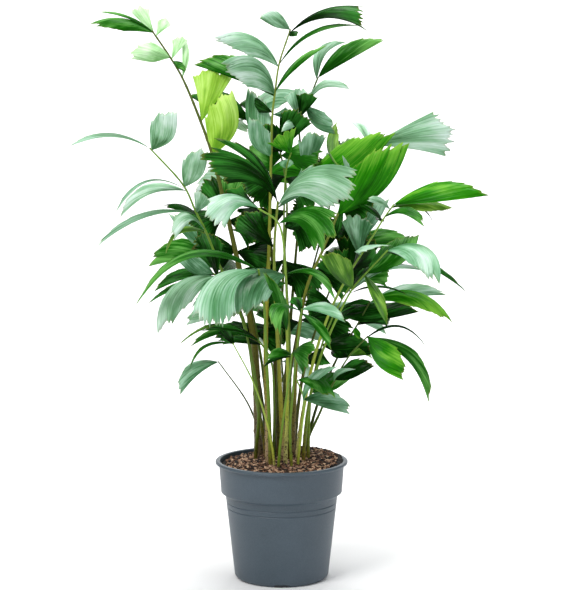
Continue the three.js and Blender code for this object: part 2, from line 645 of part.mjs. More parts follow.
const group = new THREE.Group();
const sockets = join(Object.values(fronds).map((frond) => stemSolid(frond, soilGap)));
group.add(meshOf("pot", makePot(), finishes.pot));
group.add(meshOf("soil", makeSoil(sockets), finishes.soil));
for (const frond of makePalm()) {
  group.add(frond);
}

export default group;
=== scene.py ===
import json
import math
import random
from functools import partial
import bpy
import bmesh
from mathutils import Matrix, Vector

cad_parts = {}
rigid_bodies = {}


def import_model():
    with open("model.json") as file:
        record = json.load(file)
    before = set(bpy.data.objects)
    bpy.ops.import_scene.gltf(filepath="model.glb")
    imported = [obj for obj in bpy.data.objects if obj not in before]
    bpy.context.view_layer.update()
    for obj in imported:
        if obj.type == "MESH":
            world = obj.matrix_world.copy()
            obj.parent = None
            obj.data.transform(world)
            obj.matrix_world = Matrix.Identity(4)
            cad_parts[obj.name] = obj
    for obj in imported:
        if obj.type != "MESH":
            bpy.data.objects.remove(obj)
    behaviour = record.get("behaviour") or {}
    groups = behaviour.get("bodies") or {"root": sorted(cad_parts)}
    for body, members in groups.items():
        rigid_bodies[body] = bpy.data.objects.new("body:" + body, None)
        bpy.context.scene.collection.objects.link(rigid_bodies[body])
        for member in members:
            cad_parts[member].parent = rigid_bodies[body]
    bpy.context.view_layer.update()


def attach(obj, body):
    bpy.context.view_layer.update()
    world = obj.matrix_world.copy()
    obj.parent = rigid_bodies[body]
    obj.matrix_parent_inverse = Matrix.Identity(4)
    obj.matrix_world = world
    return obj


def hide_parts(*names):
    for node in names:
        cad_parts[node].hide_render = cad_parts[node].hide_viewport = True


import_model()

mm = 0.001
scene = bpy.context.scene


def toLinear(colour):
    channels = [int(colour[i:i + 2], 16) / 255 for i in (1, 3, 5)]
    return [c / 12.92 if c <= 0.04045 else ((c + 0.055) / 1.055) ** 2.4 for c in channels] + [1]


# Fills a node's sockets: from a node or socket by a link, from any other value by setting it
def fill(node, inputs):
    for key, value in inputs.items():
        if isinstance(value, bpy.types.Node):
            value = value.outputs[0]
        if isinstance(value, bpy.types.NodeSocket):
            node.id_data.links.new(value, node.inputs[key])
        else:
            node.inputs[key].default_value = value


# Adds a node by its type without the family in front. A bare word in place of settings is its operation
def add(tree, kind, settings=None, inputs=None):
    families = ("ShaderNode", "GeometryNode", "FunctionNode", "")
    node = tree.nodes.new(next(f + kind for f in families if hasattr(bpy.types, f + kind)))
    if isinstance(settings, str):
        settings = {"operation": settings}
    for key, value in (settings or {}).items():
        setattr(node, key, value)
    fill(node, inputs or {})
    return node


def newMaterial(name):
    material = bpy.data.materials.new(name)
    material.use_nodes = True
    material.node_tree.nodes.clear()
    node = partial(add, material.node_tree)
    shader = node("BsdfPrincipled")
    node("OutputMaterial", None, {"Surface": shader})
    return material, node, shader


def setRamp(node, stops):
    ramp = node.color_ramp
    while len(ramp.elements) < len(stops):
        ramp.elements.new(0.5)
    for element, (position, colour) in zip(ramp.elements, stops):
        element.position = position
        element.color = toLinear(colour)
    return node


def newTree(name, inputs):
    tree = bpy.data.node_groups.new(name, "GeometryNodeTree")
    tree.interface.new_socket("Geometry", in_out="INPUT", socket_type="NodeSocketGeometry")
    for label, kind in inputs:
        tree.interface.new_socket(label, in_out="INPUT", socket_type="NodeSocket" + kind)
    tree.interface.new_socket("Geometry", in_out="OUTPUT", socket_type="NodeSocketGeometry")
    node = partial(add, tree)
    return node, node("NodeGroupInput").outputs


# Ends a tree with real geometry that wears its material, and hands the tree back
def closeTree(node, geometry, finish):
    real = node("RealizeInstances", None, {"Geometry": geometry})
    painted = node("SetMaterial", None, {"Geometry": real, "Material": finish})
    return node("NodeGroupOutput", None, {0: painted}).id_data


# Runs a tree on a mesh or curve and hands back the plain mesh that it makes
def evaluate(tree, source, values):
    holder = bpy.data.objects.new("holder", source)
    scene.collection.objects.link(holder)
    modifier = holder.modifiers.new("nodes", "NODES")
    modifier.node_group = tree
    for item in tree.interface.items_tree:
        if item.in_out == "INPUT" and item.name in values:
            modifier[item.identifier] = values[item.name]
    depsgraph = bpy.context.evaluated_depsgraph_get()
    mesh = bpy.data.meshes.new_from_object(holder.evaluated_get(depsgraph), depsgraph=depsgraph)
    bpy.data.objects.remove(holder)
    return mesh


# Faces between each ring of points and the next
def bridge(build, rings):
    for a, b in zip(rings, rings[1:]):
        for i in range(len(a)):
            j = (i + 1) % len(a)
            build.faces.new((a[i], b[i], b[j], a[j]))


# Joins meshes into one object, each with its own single material
def joinMeshes(name, meshes):
    for mesh in meshes:
        scene.collection.objects.link(bpy.data.objects.new(name, mesh))
    objects = [o for o in scene.collection.objects if o.data in meshes]
    with bpy.context.temp_override(active_object=objects[0], selected_editable_objects=objects):
        bpy.ops.object.join()
    joined = objects[0]
    joined.name = name
    return joined


potSizes = {
    "height": 242, "lipRadius": 135, "lipDepth": 7, "collarTop": 127.5, "collarBottom": 123.5,
    "collarHeight": 64, "step": 6, "neck": 114.5, "base": 96.5, "edge": 10, "wall": 2.2, "floor": 8,
    "grooveDrops": (17, 28), "grooveDepth": 1.1, "grooveWidth": 3.2,
    "channelDepth": 5.5, "channelTop": 25, "channelFoot": 37, "channelStart": 30, "segments": 288,
    "drainHoles": 4, "drainHoleRadius": 5,
}


# Injection-moulded polypropylene: satin, with faint clouds of dust some 110 mm across, and a spark-eroded
# grain drawn 1.1 mm across, coarser than it is, so that it shows
def makePotMaterial():
    material, node, shader = newMaterial("moulded_polypropylene")
    where = node("TexCoord").outputs["Object"]
    cloud = node("TexNoise", None, {"Vector": where, "Scale": 9.0, "Detail": 4.0})
    body = setRamp(node("ValToRGB", None, {"Fac": cloud}), [(0.3, "#36444e"), (0.7, "#414f5a")])
    grain = node("TexNoise", None, {"Vector": where, "Scale": 900.0, "Detail": 2.0})
    speck = setRamp(node("ValToRGB", None, {"Fac": grain}), [(0.35, "#333f47"), (0.62, "#71808b")])
    mixed = node("Mix", {"data_type": "RGBA"}, {"Factor": 0.16, 6: body, 7: speck})
    rough = node("MapRange", None, {"Value": cloud, "To Min": 0.38, "To Max": 0.5})
    bump = node("Bump", None, {"Strength": 0.25, "Distance": 0.0004, "Height": grain})
    fill(shader, {"Base Color": mixed.outputs[2], "Roughness": rough, "Normal": bump, "IOR": 1.49,
        "Specular IOR Level": 0.5})
    return material


# How high the foot's underside is lifted at a point by the drain channels
def channelLift(x, y):
    if math.hypot(x, y) < potSizes["channelStart"] - 4:
        return 0.0
    offAxis = min(abs(x), abs(y))
    low, high = potSizes["channelFoot"] / 2, potSizes["channelTop"] / 2
    share = min(1.0, max(0.0, (low - offAxis) / (low - high)))
    begin = min(1.0, max(0.0, (math.hypot(x, y) - potSizes["channelStart"] + 4) / 4))
    return potSizes["channelDepth"] * share * begin


def arc(centreR, centreZ, radius, start, end, steps):
    angles = [math.radians(start + (end - start) * i / steps) for i in range(steps + 1)]
    return [(centreR + radius * math.cos(a), centreZ + radius * math.sin(a)) for a in angles]


def potProfile():
    s = potSizes
    neckTop = s["height"] - s["collarHeight"] - s["step"]
    slope = (s["neck"] - s["base"]) / (neckTop - s["edge"])
    body = lambda z: s["base"] + slope * (z - s["edge"])
    profile = [(0.001, 0.0)] + [(r, 0.0) for r in (12, 22, 26, 30, 34, 50, 66, 78)]
    profile += arc(s["base"] - s["edge"], s["edge"], s["edge"], -90, 0, 8)
    profile += [(body(z), z) for z in (16, 40, 80, 120)]
    for drop in sorted(s["grooveDrops"], reverse=True):
        middle = neckTop - drop + s["grooveWidth"]
        for share in (-0.62, -0.5, -0.3, -0.1, 0.1, 0.3, 0.5, 0.62):
            z = middle + share * s["grooveWidth"]
            dip = s["grooveDepth"] * max(0.0, math.cos(math.pi * share)) if abs(share) < 0.5 else 0.0
            profile.append((body(z) - dip, z))
    profile += [(body(neckTop - 3), neckTop - 3), (s["neck"], neckTop), (s["neck"] + 0.8, neckTop + 0.5)]
    profile += arc(s["collarBottom"] - 1.6, neckTop + s["step"] + 0.6, 1.6, -50, 0, 4)
    profile += [(s["collarBottom"] + 0.3, neckTop + s["step"] + 6)]
    under = s["height"] - s["lipDepth"]
    profile += [(s["collarTop"] - 0.6, under - 9), (s["collarTop"], under - 2)]
    profile += arc(s["collarTop"] + 1.4, under - 1.4, 1.4, 180, 90, 3)[1:]
    roll = s["lipDepth"] / 2
    profile += arc(s["lipRadius"] - roll, s["height"] - roll, roll, -80, 90, 9)
    inner = s["collarTop"] - s["wall"]
    profile += [(inner + 3.2, s["height"] - 0.1)] + arc(inner + 2, s["height"] - 2, 2, 90, 180, 4)[1:]
    profile += [(inner - 0.2, under - 8), (s["collarBottom"] - s["wall"], neckTop + s["step"] + 2)]
    profile += [(s["neck"] - s["wall"], neckTop), (s["base"] - s["wall"], s["floor"]), (0.001, s["floor"])]
    return profile


# Bores the drain holes through the floor, one in each channel
def boreDrainHoles(pot):
    s = potSizes
    rods = bmesh.new()
    for i in range(s["drainHoles"]):
        turn = Matrix.Rotation(2 * math.pi * i / s["drainHoles"], 4, "Z")
        shift = Matrix.Translation((0, (s["edge"] + s["drainHoleRadius"] - s["base"]) * mm, 0))
        bmesh.ops.create_cone(rods, cap_ends=True, segments=32, radius1=s["drainHoleRadius"] * mm,
            radius2=s["drainHoleRadius"] * mm, depth=s["floor"] * 3 * mm, matrix=turn @ shift)
    rodMesh = bpy.data.meshes.new("drain_rods")
    rods.to_mesh(rodMesh)
    rods.free()
    rod = bpy.data.objects.new("drain_rods", rodMesh)
    scene.collection.objects.link(rod)
    bore = pot.modifiers.new("bore", "BOOLEAN")
    bore.object = rod
    bore.solver = "EXACT"
    depsgraph = bpy.context.evaluated_depsgraph_get()
    pot.data = bpy.data.meshes.new_from_object(pot.evaluated_get(depsgraph))
    pot.modifiers.clear()
    bpy.data.objects.remove(rod)
    pot.data.set_sharp_from_angle(angle=math.radians(60))


def makePot(finish):
    profile = potProfile()
    count = potSizes["segments"]
    build = bmesh.new()
    rings = []
    for radius, z in profile:
        ring = []
        for i in range(count):
            angle = 2 * math.pi * (i + 0.5) / count
            x, y = radius * math.cos(angle), radius * math.sin(angle)
            lift = channelLift(x, y)
            raised = max(z, lift) if z < potSizes["floor"] - 0.5 else z
            ring.append(build.verts.new((x * mm, y * mm, raised * mm)))
        rings.append(ring)
    bridge(build, rings)
    bmesh.ops.remove_doubles(build, verts=build.verts, dist=0.00001)
    bmesh.ops.recalc_face_normals(build, faces=build.faces)
    for facet in build.faces:
        facet.smooth = True
    mesh = bpy.data.meshes.new("grow_pot")
    build.to_mesh(mesh)
    build.free()
    mesh.materials.append(finish)
    pot = bpy.data.objects.new("grow_pot", mesh)
    scene.collection.objects.link(pot)
    boreDrainHoles(pot)
    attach(pot, "root")
    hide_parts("pot")
    print("pot made")


soilSizes = {
    "drop": 10, "mound": 13, "rearRise": 15, "radius": 124.6, "rings": 30, "spokes": 96,
    "gap": 3, "neckGap": 4, "collarLevel": 184, "neckLevel": 171, "floorLevel": 8.6,
    "chips": 3000, "chipLength": 15.0, "chipGirth": 0.42, "chipReach": 113, "chipSeed": 5,
    "crumbs": 70, "crumbLength": 3.4, "crumbGirth": 2.8, "crumbSeed": 14,
}


# Composted bark: matt, from near black where moist to tan on the dry chips, with fibre 2.4 mm across
def makeBarkMaterial():
    material, node, shader = newMaterial("composted_bark")
    tone = node("Attribute", {"attribute_name": "chipTone"})
    where = node("TexCoord").outputs["Object"]
    fibre = node("TexNoise", None, {"Vector": where, "Scale": 420.0, "Detail": 4.0})
    value = node("Math", "MULTIPLY_ADD", {0: fibre, 1: 0.35, 2: tone.outputs["Fac"]})
    colour = setRamp(node("ValToRGB", None, {"Fac": value}),
        [(0.36, "#0c0502"), (0.56, "#402617"), (0.76, "#805a42"), (0.96, "#cca88a")])
    bump = node("Bump", None, {"Strength": 0.6, "Distance": 0.0006, "Height": fibre})
    fill(shader, {"Base Color": colour, "Normal": bump, "Roughness": 0.85})
    return material


# Perlite: expanded volcanic glass, chalky white crumbs with pores 1.1 mm across
def makePerliteMaterial():
    material, node, shader = newMaterial("perlite")
    where = node("TexCoord").outputs["Object"]
    pores = node("TexVoronoi", None, {"Vector": where, "Scale": 900.0})
    colour = setRamp(node("ValToRGB", None, {"Fac": pores}), [(0.1, "#b9b2a4"), (0.6, "#efece4")])
    fill(shader, {"Base Color": colour, "Roughness": 0.9})
    return material


# Torn bark chips and perlite crumbs, scattered over a patch of growing mix
def makeChipTree():
    node, given = newTree("scatteredChips", [("Count", "Int"), ("Length", "Float"), ("Girth", "Float"),
        ("Seed", "Int"), ("Finish", "Material")])
    area = node("InputMeshFaceArea")
    total = node("AttributeStatistic", {"data_type": "FLOAT", "domain": "FACE"},
        {"Geometry": given["Geometry"], 2: area})
    density = node("Math", "DIVIDE", {0: given["Count"], 1: total.outputs["Sum"]})
    spots = node("DistributePointsOnFaces", None,
        {"Mesh": given["Geometry"], "Density": density, "Seed": given["Seed"]})
    chip = node("MeshIcoSphere", None, {"Radius": 0.5, "Subdivisions": 1})
    where = node("InputPosition")
    rough = node("TexNoise", None, {"Vector": where, "Scale": 2.5, "Detail": 1.0})
    centred = node("VectorMath", "SUBTRACT", {0: rough.outputs["Color"], 1: (0.5, 0.5, 0.5)})
    torn = node("VectorMath", "SCALE", {0: centred, "Scale": 0.9})
    lump = node("SetPosition", None, {"Geometry": chip, "Offset": torn})
    tumble = node("RandomValue", {"data_type": "FLOAT_VECTOR"},
        {0: (-0.5, -0.5, 0.0), 1: (0.5, 0.5, 6.283), "Seed": given["Seed"]})
    sizeSeed = node("Math", "ADD", {0: given["Seed"], 1: 1.0})
    size = node("RandomValue", {"data_type": "FLOAT_VECTOR"},
        {0: (0.35, 0.5, 0.5), 1: (1.15, 1.5, 1.3), "Seed": sizeSeed})
    shape = node("CombineXYZ", None, {0: given["Length"], 1: given["Girth"], 2: given["Girth"]})
    scale = node("VectorMath", "MULTIPLY", {0: size, 1: shape})
    bits = node("InstanceOnPoints", None, {"Points": spots, "Instance": lump, "Rotation": tumble,
        "Scale": scale})
    toneSeed = node("Math", "ADD", {0: given["Seed"], 1: 2.0})
    tone = node("RandomValue", {"data_type": "FLOAT"}, {2: 0.0, 3: 0.85, "Seed": toneSeed})
    toned = node("StoreNamedAttribute", {"data_type": "FLOAT", "domain": "INSTANCE"},
        {"Geometry": bits, "Name": "chipTone", "Value": tone.outputs[1]})
    return closeTree(node, toned, given["Finish"])


# The height of the growing mix at a point, above the pot's underside
def soilHeight(x, y):
    s = soilSizes
    share = math.hypot(x, y) / s["radius"]
    rear = max(0.0, (0.75 * x + 0.65 * y) / s["radius"])
    lumps = math.sin(x * 0.09 + 1.3) * math.cos(y * 0.11 + 0.4) * 1.4 + math.sin(x * 0.23 + y * 0.19) * 0.9
    return potSizes["height"] - s["drop"] + s["mound"] * (1 - share ** 2) + s["rearRise"] * rear + lumps


# A ring of points around the axis, on the surface of the mix or at a level below it
def soilRing(build, radius, level=None):
    angles = [2 * math.pi * i / soilSizes["spokes"] for i in range(soilSizes["spokes"])]
    ring = []
    for x, y in [(radius * math.cos(a), radius * math.sin(a)) for a in angles]:
        z = soilHeight(x, y) if level is None else level
        ring.append(build.verts.new((x * mm, y * mm, z * mm)))
    return ring


# Bark and perlite over the surface, as far out as they can lie without poking through the collar
def scatterChips(chipTree, surface, bark, perlite):
    s = soilSizes
    bed = surface.copy()
    rim = [f for f in bed.faces if f.calc_center_median().to_2d().length > s["chipReach"] * mm]
    bmesh.ops.delete(bed, geom=rim, context="FACES")
    top = bpy.data.meshes.new("soil_top")
    bed.to_mesh(top)
    bed.free()
    chips = evaluate(chipTree, top, {"Count": s["chips"], "Length": s["chipLength"] * mm,
        "Girth": s["chipLength"] * s["chipGirth"] * mm, "Seed": s["chipSeed"], "Finish": bark})
    crumbs = evaluate(chipTree, top, {"Count": s["crumbs"], "Length": s["crumbLength"] * mm,
        "Girth": s["crumbGirth"] * mm, "Seed": s["crumbSeed"], "Finish": perlite})
    return chips, crumbs


def makeSoil(chipTree, bark, perlite):
    s = soilSizes
    build = bmesh.new()
    centre = build.verts.new((0, 0, soilHeight(0, 0) * mm))
    rings = [soilRing(build, s["radius"] * (i + 1) / s["rings"]) for i in range(s["rings"])]
    for i in range(s["spokes"]):
        build.faces.new((centre, rings[0][i], rings[0][(i + 1) % s["spokes"]]))
    bridge(build, rings)
    chips, crumbs = scatterChips(chipTree, build, bark, perlite)
    # The mix below the surface, down to the pot's floor
    lower = [soilRing(build, potSizes["collarBottom"] - s["gap"], s["collarLevel"]),
        soilRing(build, potSizes["neck"] - s["neckGap"], s["neckLevel"]),
        soilRing(build, potSizes["base"] - s["gap"], s["floorLevel"])]
    bridge(build, [rings[-1]] + lower)
    build.faces.new(list(reversed(lower[-1])))
    bmesh.ops.recalc_face_normals(build, faces=build.faces)
    filling = bpy.data.meshes.new("filling")
    build.to_mesh(filling)
    build.free()
    filling.materials.append(bark)
    soil = joinMeshes("growing_mix", [filling, chips, crumbs])
    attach(soil, "root")
    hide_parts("soil")
    print("soil made:", len(soil.data.polygons), "faces")


stemSizes = {
    "rootDepth": 60, "perSpan": 10, "sides": 14, "step": 6, "taper": 1.3, "caneRadius": 6, "paleEvery": 4,
    "ringSpacing": 38, "ringHeight": 0.09,
    "shade": 0.34, "shadeDepth": 0.016, "shadeStep": 0.12, "shadeMost": 0.75,
}


# A leaf stalk: tan below and green above, with fibres 2.4 mm across, drawn coarse so that they show, and
# dark specks 4 mm across where old sheaths fell
def makeStemMaterial(name, base, middle, tip):
    material, node, shader = newMaterial(name)
    along = node("Attribute", {"attribute_name": "stemAlong"}).outputs["Fac"]
    where = node("TexCoord").outputs["Object"]
    streak = node("Mapping", None, {"Vector": where, "Scale": (420.0, 420.0, 14.0)})
    fibre = node("TexNoise", None, {"Vector": streak, "Scale": 1.0, "Detail": 3.0})
    speckle = node("TexNoise", None, {"Vector": where, "Scale": 260.0, "Detail": 3.0})
    shift = node("MapRange", None, {"Value": fibre, "To Min": -0.09, "To Max": 0.09})
    height = node("Math", "ADD", {0: along, 1: shift})
    colour = setRamp(node("ValToRGB", None, {"Fac": height}), [(0.1, base), (0.26, middle), (0.8, tip)])
    dark = node("MapRange", None, {"Value": speckle, "From Min": 0.52, "From Max": 0.62, "To Max": 0.85})
    low = node("MapRange", None, {"Value": along, "From Min": 0.14, "From Max": 0.34, "To Min": 1.0,
        "To Max": 0.2})
    spots = node("Math", "MULTIPLY", {0: dark, 1: low})
    final = node("Mix", {"data_type": "RGBA"}, {"Factor": spots, 6: colour, 7: toLinear("#3a2a20")})
    # Painted shade and tone: the stem is mixed towards near black, more at the back of the clump
    shade = node("Attribute", {"attribute_name": "stemShade"}).outputs["Fac"]
    shaded = node("Mix", {"data_type": "RGBA"}, {"Factor": shade, 6: final.outputs[2],
        7: toLinear("#141703")})
    bump = node("Bump", None, {"Strength": 0.4, "Distance": 0.0005, "Height": fibre})
    fill(shader, {"Base Color": shaded.outputs[2], "Normal": bump, "Roughness": 0.48,
        "Specular IOR Level": 0.25})
    return material


# A stem: a round rod along a curve, whose radius the curve carries, with low rings where old sheaths sat
def makeStemTree():
    node, given = newTree("taperedStem", [("Sides", "Int"), ("Step", "Float"), ("Ring Spacing", "Float"),
        ("Ring Height", "Float"), ("Shade", "Float"), ("Finish", "Material")])
    rod = node("ResampleCurve", {"mode": "LENGTH"}, {"Curve": given["Geometry"], "Length": given["Step"]})
    spline = node("SplineParameter")
    turns = node("Math", "DIVIDE", {0: spline.outputs["Length"], 1: given["Ring Spacing"]})
    phase = node("Math", "FRACT", {0: turns})
    peak = node("MapRange", None, {"Value": phase, "From Max": 0.2, "To Min": 1.0, "To Max": 0.0})
    swell = node("Math", "MULTIPLY_ADD", {0: peak, 1: given["Ring Height"], 2: 1.0})
    radius = node("InputRadius")
    grown = node("Math", "MULTIPLY", {0: radius, 1: swell})
    sized = node("SetCurveRadius", None, {"Curve": rod, "Radius": grown})
    marked = node("StoreNamedAttribute", {"data_type": "FLOAT", "domain": "POINT"},
        {"Geometry": sized, "Name": "stemAlong", "Value": spline.outputs["Factor"]})
    section = node("CurvePrimitiveCircle", {"mode": "RADIUS"}, {"Resolution": given["Sides"], "Radius": 1.0})
    solid = node("CurveToMesh", None, {"Curve": marked, "Profile Curve": section, "Scale": grown,
        "Fill Caps": True})
    # Carries the stem's painted shade and tone to its material
    shaded = node("StoreNamedAttribute", {"data_type": "FLOAT", "domain": "POINT"},
        {"Geometry": solid, "Name": "stemShade", "Value": given["Shade"]})
    smooth = node("SetShadeSmooth", None, {"Geometry": shaded, "Shade Smooth": True})
    return closeTree(node, smooth, given["Finish"])


# The outline of each form of leaflet, as (along the spine, across in leaf widths)
leafForms = {
    "blade": {"shortBow": (0.22, 0.3), "shortCorner": (0.48, 0.5), "margin": (0.86, 0.5),
              "longBow": (0.5, -0.98), "longCorner": (1, 0), "toothDepth": 0.11},
    "strap": {"shortBow": (0.28, 0.4), "shortCorner": (0.6, 0.42), "margin": (0.9, 0.3),
              "longBow": (0.5, -0.98), "longCorner": (1, 0), "toothDepth": 0.09},
    "fan": {"shortBow": (0.4, 0.2), "shortCorner": (0.74, 0.5), "margin": (1.16, 0.05),
            "longBow": (0.4, -0.28), "longCorner": (0.9, -0.5), "toothDepth": 0.11},
    "tail": {"shortBow": (0.45, 0.16), "shortCorner": (0.86, 0.5), "margin": (0.84, 0),
             "longBow": (0.5, -0.34), "longCorner": (1, -0.5), "toothDepth": 0.12},
}

leafSizes = {
    "inset": 1.5, "pitch": 4, "thickness": 0.45, "ribSpacing": 7.5, "ribDepth": 1.1, "columnsPerRib": 6,
    "rows": 15, "cup": 0.25, "ripple": 5.0, "toothSpacing": 7.5, "twist": 0.35, "seed": 11,
    "lift": 0.1, "fewestRibs": 6, "fewestTeeth": 3.0,
}

# Each tone: the upper face's dark, body and light colours, the underside, roughness and specular level. The
# light colour of every tone is painted sheen. The deep tone is dark green, partly painted shade for leaves
# whose upper face lies in shade; the pale and green_sheen tones are green lightened by painted sheen
leafTones = {
    "deep": {"dark": "#031600", "body": "#073201", "light": "#317828", "under": "#114606",
        "gloss": 0.24, "shine": 0.06},
    "mid": {"dark": "#0a3f00", "body": "#196206", "light": "#6cb052", "under": "#2c751a",
        "gloss": 0.28, "shine": 0.1},
    "bright": {"dark": "#125400", "body": "#2b860a", "light": "#80c43e", "under": "#408c18",
        "gloss": 0.3, "shine": 0.08},
    "light": {"dark": "#337a3c", "body": "#7cb488", "light": "#c6e4d0", "under": "#94c0a0",
        "gloss": 0.36, "shine": 0.5},
    "pale": {"dark": "#2f6a32", "body": "#84b68c", "light": "#cfe6d8", "under": "#a6c8ac",
        "gloss": 0.42, "shine": 0.5},
    "green_sheen": {"dark": "#17501e", "body": "#4c8456", "light": "#9cc8a8", "under": "#6c9870",
        "gloss": 0.38, "shine": 0.5},
    "lime": {"dark": "#6ba51a", "body": "#9fd042", "light": "#c8ee78", "under": "#a6d64e",
        "gloss": 0.44, "shine": 0.3},
    "young": {"dark": "#6fae5c", "body": "#a9d99a", "light": "#d6f2cc", "under": "#b2dfa4",
        "gloss": 0.48, "shine": 0.4},
    "olive": {"dark": "#1f4a02", "body": "#457a12", "light": "#8cb848", "under": "#5c8a2c",
        "gloss": 0.36, "shine": 0.2},
}


# A living leaflet: waxy cuticle over ribs that fan out from the stalk, some 34 to a leaflet, paler beneath
# and browned at the torn edge, with painted sheen in pale streaks along the ribs and in pale patches
def makeLeafMaterial(name, tone):
    material, node, shader = newMaterial("waxy_leaf_" + name)
    plan = node("UVMap", {"uv_map": "leafPlan"})
    split = node("SeparateXYZ", None, {0: plan})
    leafSeed = node("Attribute", {"attribute_name": "leafSeed"}).outputs["Fac"]
    stretch = node("CombineXYZ", None, {0: split.outputs[0], 1: split.outputs[1], 2: leafSeed})
    ribs = node("Mapping", None, {"Vector": stretch, "Scale": (34.0, 1.1, 9.0)})
    ribNoise = node("TexNoise", None, {"Vector": ribs, "Scale": 1.0, "Detail": 3.0})
    # Patches of painted sheen, which also vary the roughness
    sheenPatch = node("Mapping", None, {"Vector": stretch, "Scale": (2.6, 1.7, 7.0)})
    sheenPatchNoise = node("TexNoise", None, {"Vector": sheenPatch, "Scale": 1.0, "Detail": 3.0})
    value = node("Math", "MULTIPLY_ADD", {0: ribNoise, 1: 0.55, 2: sheenPatchNoise})
    outward = node("Math", "MULTIPLY_ADD", {0: split.outputs[1], 1: 0.3, 2: value})
    spread = node("MapRange", None, {"Value": outward, "From Min": 0.66, "From Max": 1.26})
    # Upper face: darker towards the stalk, rising to the tone's light colour, a painted sheen, on ribs and
    # patches
    upper = setRamp(node("ValToRGB", None, {"Fac": spread}),
        [(0.08, tone["dark"]), (0.5, tone["body"]), (0.95, tone["light"])])
    under = setRamp(node("ValToRGB", None, {"Fac": ribNoise}), [(0.3, tone["body"]), (0.6, tone["under"])])
    side = node("Attribute", {"attribute_name": "underside"}).outputs["Fac"]
    both = node("Mix", {"data_type": "RGBA"}, {"Factor": side, 6: upper, 7: under})
    edge = node("MapRange", None, {"Value": split.outputs[1], "From Min": 0.965, "From Max": 1.0,
        "To Max": 0.55})
    worn = node("Math", "MULTIPLY", {0: edge, 1: ribNoise})
    final = node("Mix", {"data_type": "RGBA"}, {"Factor": worn, 6: both.outputs[2], 7: toLinear("#a89a4e")})
    rough = node("MapRange", None, {"Value": sheenPatchNoise, "To Min": tone["gloss"] - 0.06,
        "To Max": tone["gloss"] + 0.1})
    bump = node("Bump", None, {"Strength": 0.35, "Distance": 0.0005, "Height": ribNoise})
    fill(shader, {"Base Color": final.outputs[2], "Roughness": rough, "Normal": bump, "IOR": 1.45,
        "Specular IOR Level": tone["shine"], "Subsurface Weight": 0.06,
        "Subsurface Radius": (0.002, 0.004, 0.001)})
    return material


# The torn margin: a curve from corner to corner, bitten in by teeth that fade out at both ends
def tornMargin(node, given, rib):
    marginCurve = node("CurveQuadraticBezier", None,
        {"Resolution": 24, "Start": given["Short Corner"], "Middle": given["Margin"],
        "End": given["Long Corner"]})
    margin = node("SampleCurve", {"mode": "FACTOR"}, {"Curves": marginCurve, "Factor": rib})
    raggedAt = node("Math", "MULTIPLY_ADD", {0: rib, 1: given["Teeth"], 2: given["Seed"]})
    ragged = node("TexNoise", {"noise_dimensions": "1D"},
        {"W": raggedAt, "Scale": 0.5, "Detail": 2.5, "Roughness": 0.65})
    toothAt = node("Math", "MULTIPLY", {0: rib, 1: given["Teeth"]})
    tooth = node("Math", "FRACT", {0: toothAt})
    jag = node("Math", "MULTIPLY_ADD", {0: ragged, 1: 3.0, 2: -1.15})
    jagged = node("Math", "MULTIPLY_ADD", {0: tooth, 1: 0.28, 2: jag})
    fadeIn = node("MapRange", None, {"Value": rib, "From Max": 0.05})
    fadeOut = node("MapRange", None, {"Value": rib, "From Min": 0.94, "From Max": 1.0, "To Min": 1.0,
        "To Max": 0.0})
    fade = node("Math", "MULTIPLY", {0: fadeIn, 1: fadeOut})
    bite = node("Math", "MULTIPLY", {0: jagged, 1: fade})
    depth = node("Math", "MULTIPLY", {0: bite, 1: given["Tooth Depth"]})
    left = node("Math", "SUBTRACT", {0: 1.0, 1: depth})
    return node("VectorMath", "SCALE", {0: margin.outputs["Position"], "Scale": left})


# Each point's place in the flat outline: how far along the spine and how far out from it
def leafOutline(node, given, rib, reach):
    tornEdge = tornMargin(node, given, rib)
    bow = node("Mix", {"data_type": "VECTOR"}, {"Factor": rib, 4: given["Short Bow"], 5: given["Long Bow"]})
    rest = node("Math", "SUBTRACT", {0: 1.0, 1: reach})
    bowShare = node("Math", "MULTIPLY", {0: reach, 1: rest})
    bowTwice = node("Math", "MULTIPLY", {0: bowShare, 1: 2.0})
    edgeShare = node("Math", "MULTIPLY", {0: reach, 1: reach})
    bowPart = node("VectorMath", "SCALE", {0: bow.outputs[1], "Scale": bowTwice})
    edgePart = node("VectorMath", "SCALE", {0: tornEdge, "Scale": edgeShare})
    flat = node("VectorMath", "ADD", {0: bowPart, 1: edgePart})
    flatParts = node("SeparateXYZ", None, {0: flat})
    distance = node("Math", {"operation": "MULTIPLY", "use_clamp": True}, {0: flatParts.outputs[0], 1: 1.0})
    offset = node("Math", "MULTIPLY", {0: flatParts.outputs[1], 1: given["Width"]})
    return distance, offset


# Where the arched spine runs, and which ways its upper face and its side point
def leafSpine(node, given, distance):
    spineCurve = node("CurveQuadraticBezier", None,
        {"Resolution": 32, "Start": given["Base"], "Middle": given["Bend"], "End": given["Tip"]})
    spine = node("SampleCurve", {"mode": "FACTOR"}, {"Curves": spineCurve, "Factor": distance})
    heading = spine.outputs["Tangent"]
    lean = node("VectorMath", "DOT_PRODUCT", {0: given["Face"], 1: heading})
    along = node("VectorMath", "SCALE", {0: heading, "Scale": lean.outputs["Value"]})
    square = node("VectorMath", "SUBTRACT", {0: given["Face"], 1: along})
    upright = node("VectorMath", "NORMALIZE", {0: square})
    turn = node("Math", "MULTIPLY", {0: distance, 1: given["Twist"]})
    face = node("VectorRotate", None, {"Vector": upright, "Axis": heading, "Angle": turn})
    side = node("VectorMath", "CROSS_PRODUCT", {0: face, 1: heading})
    return spine.outputs["Position"], face, side


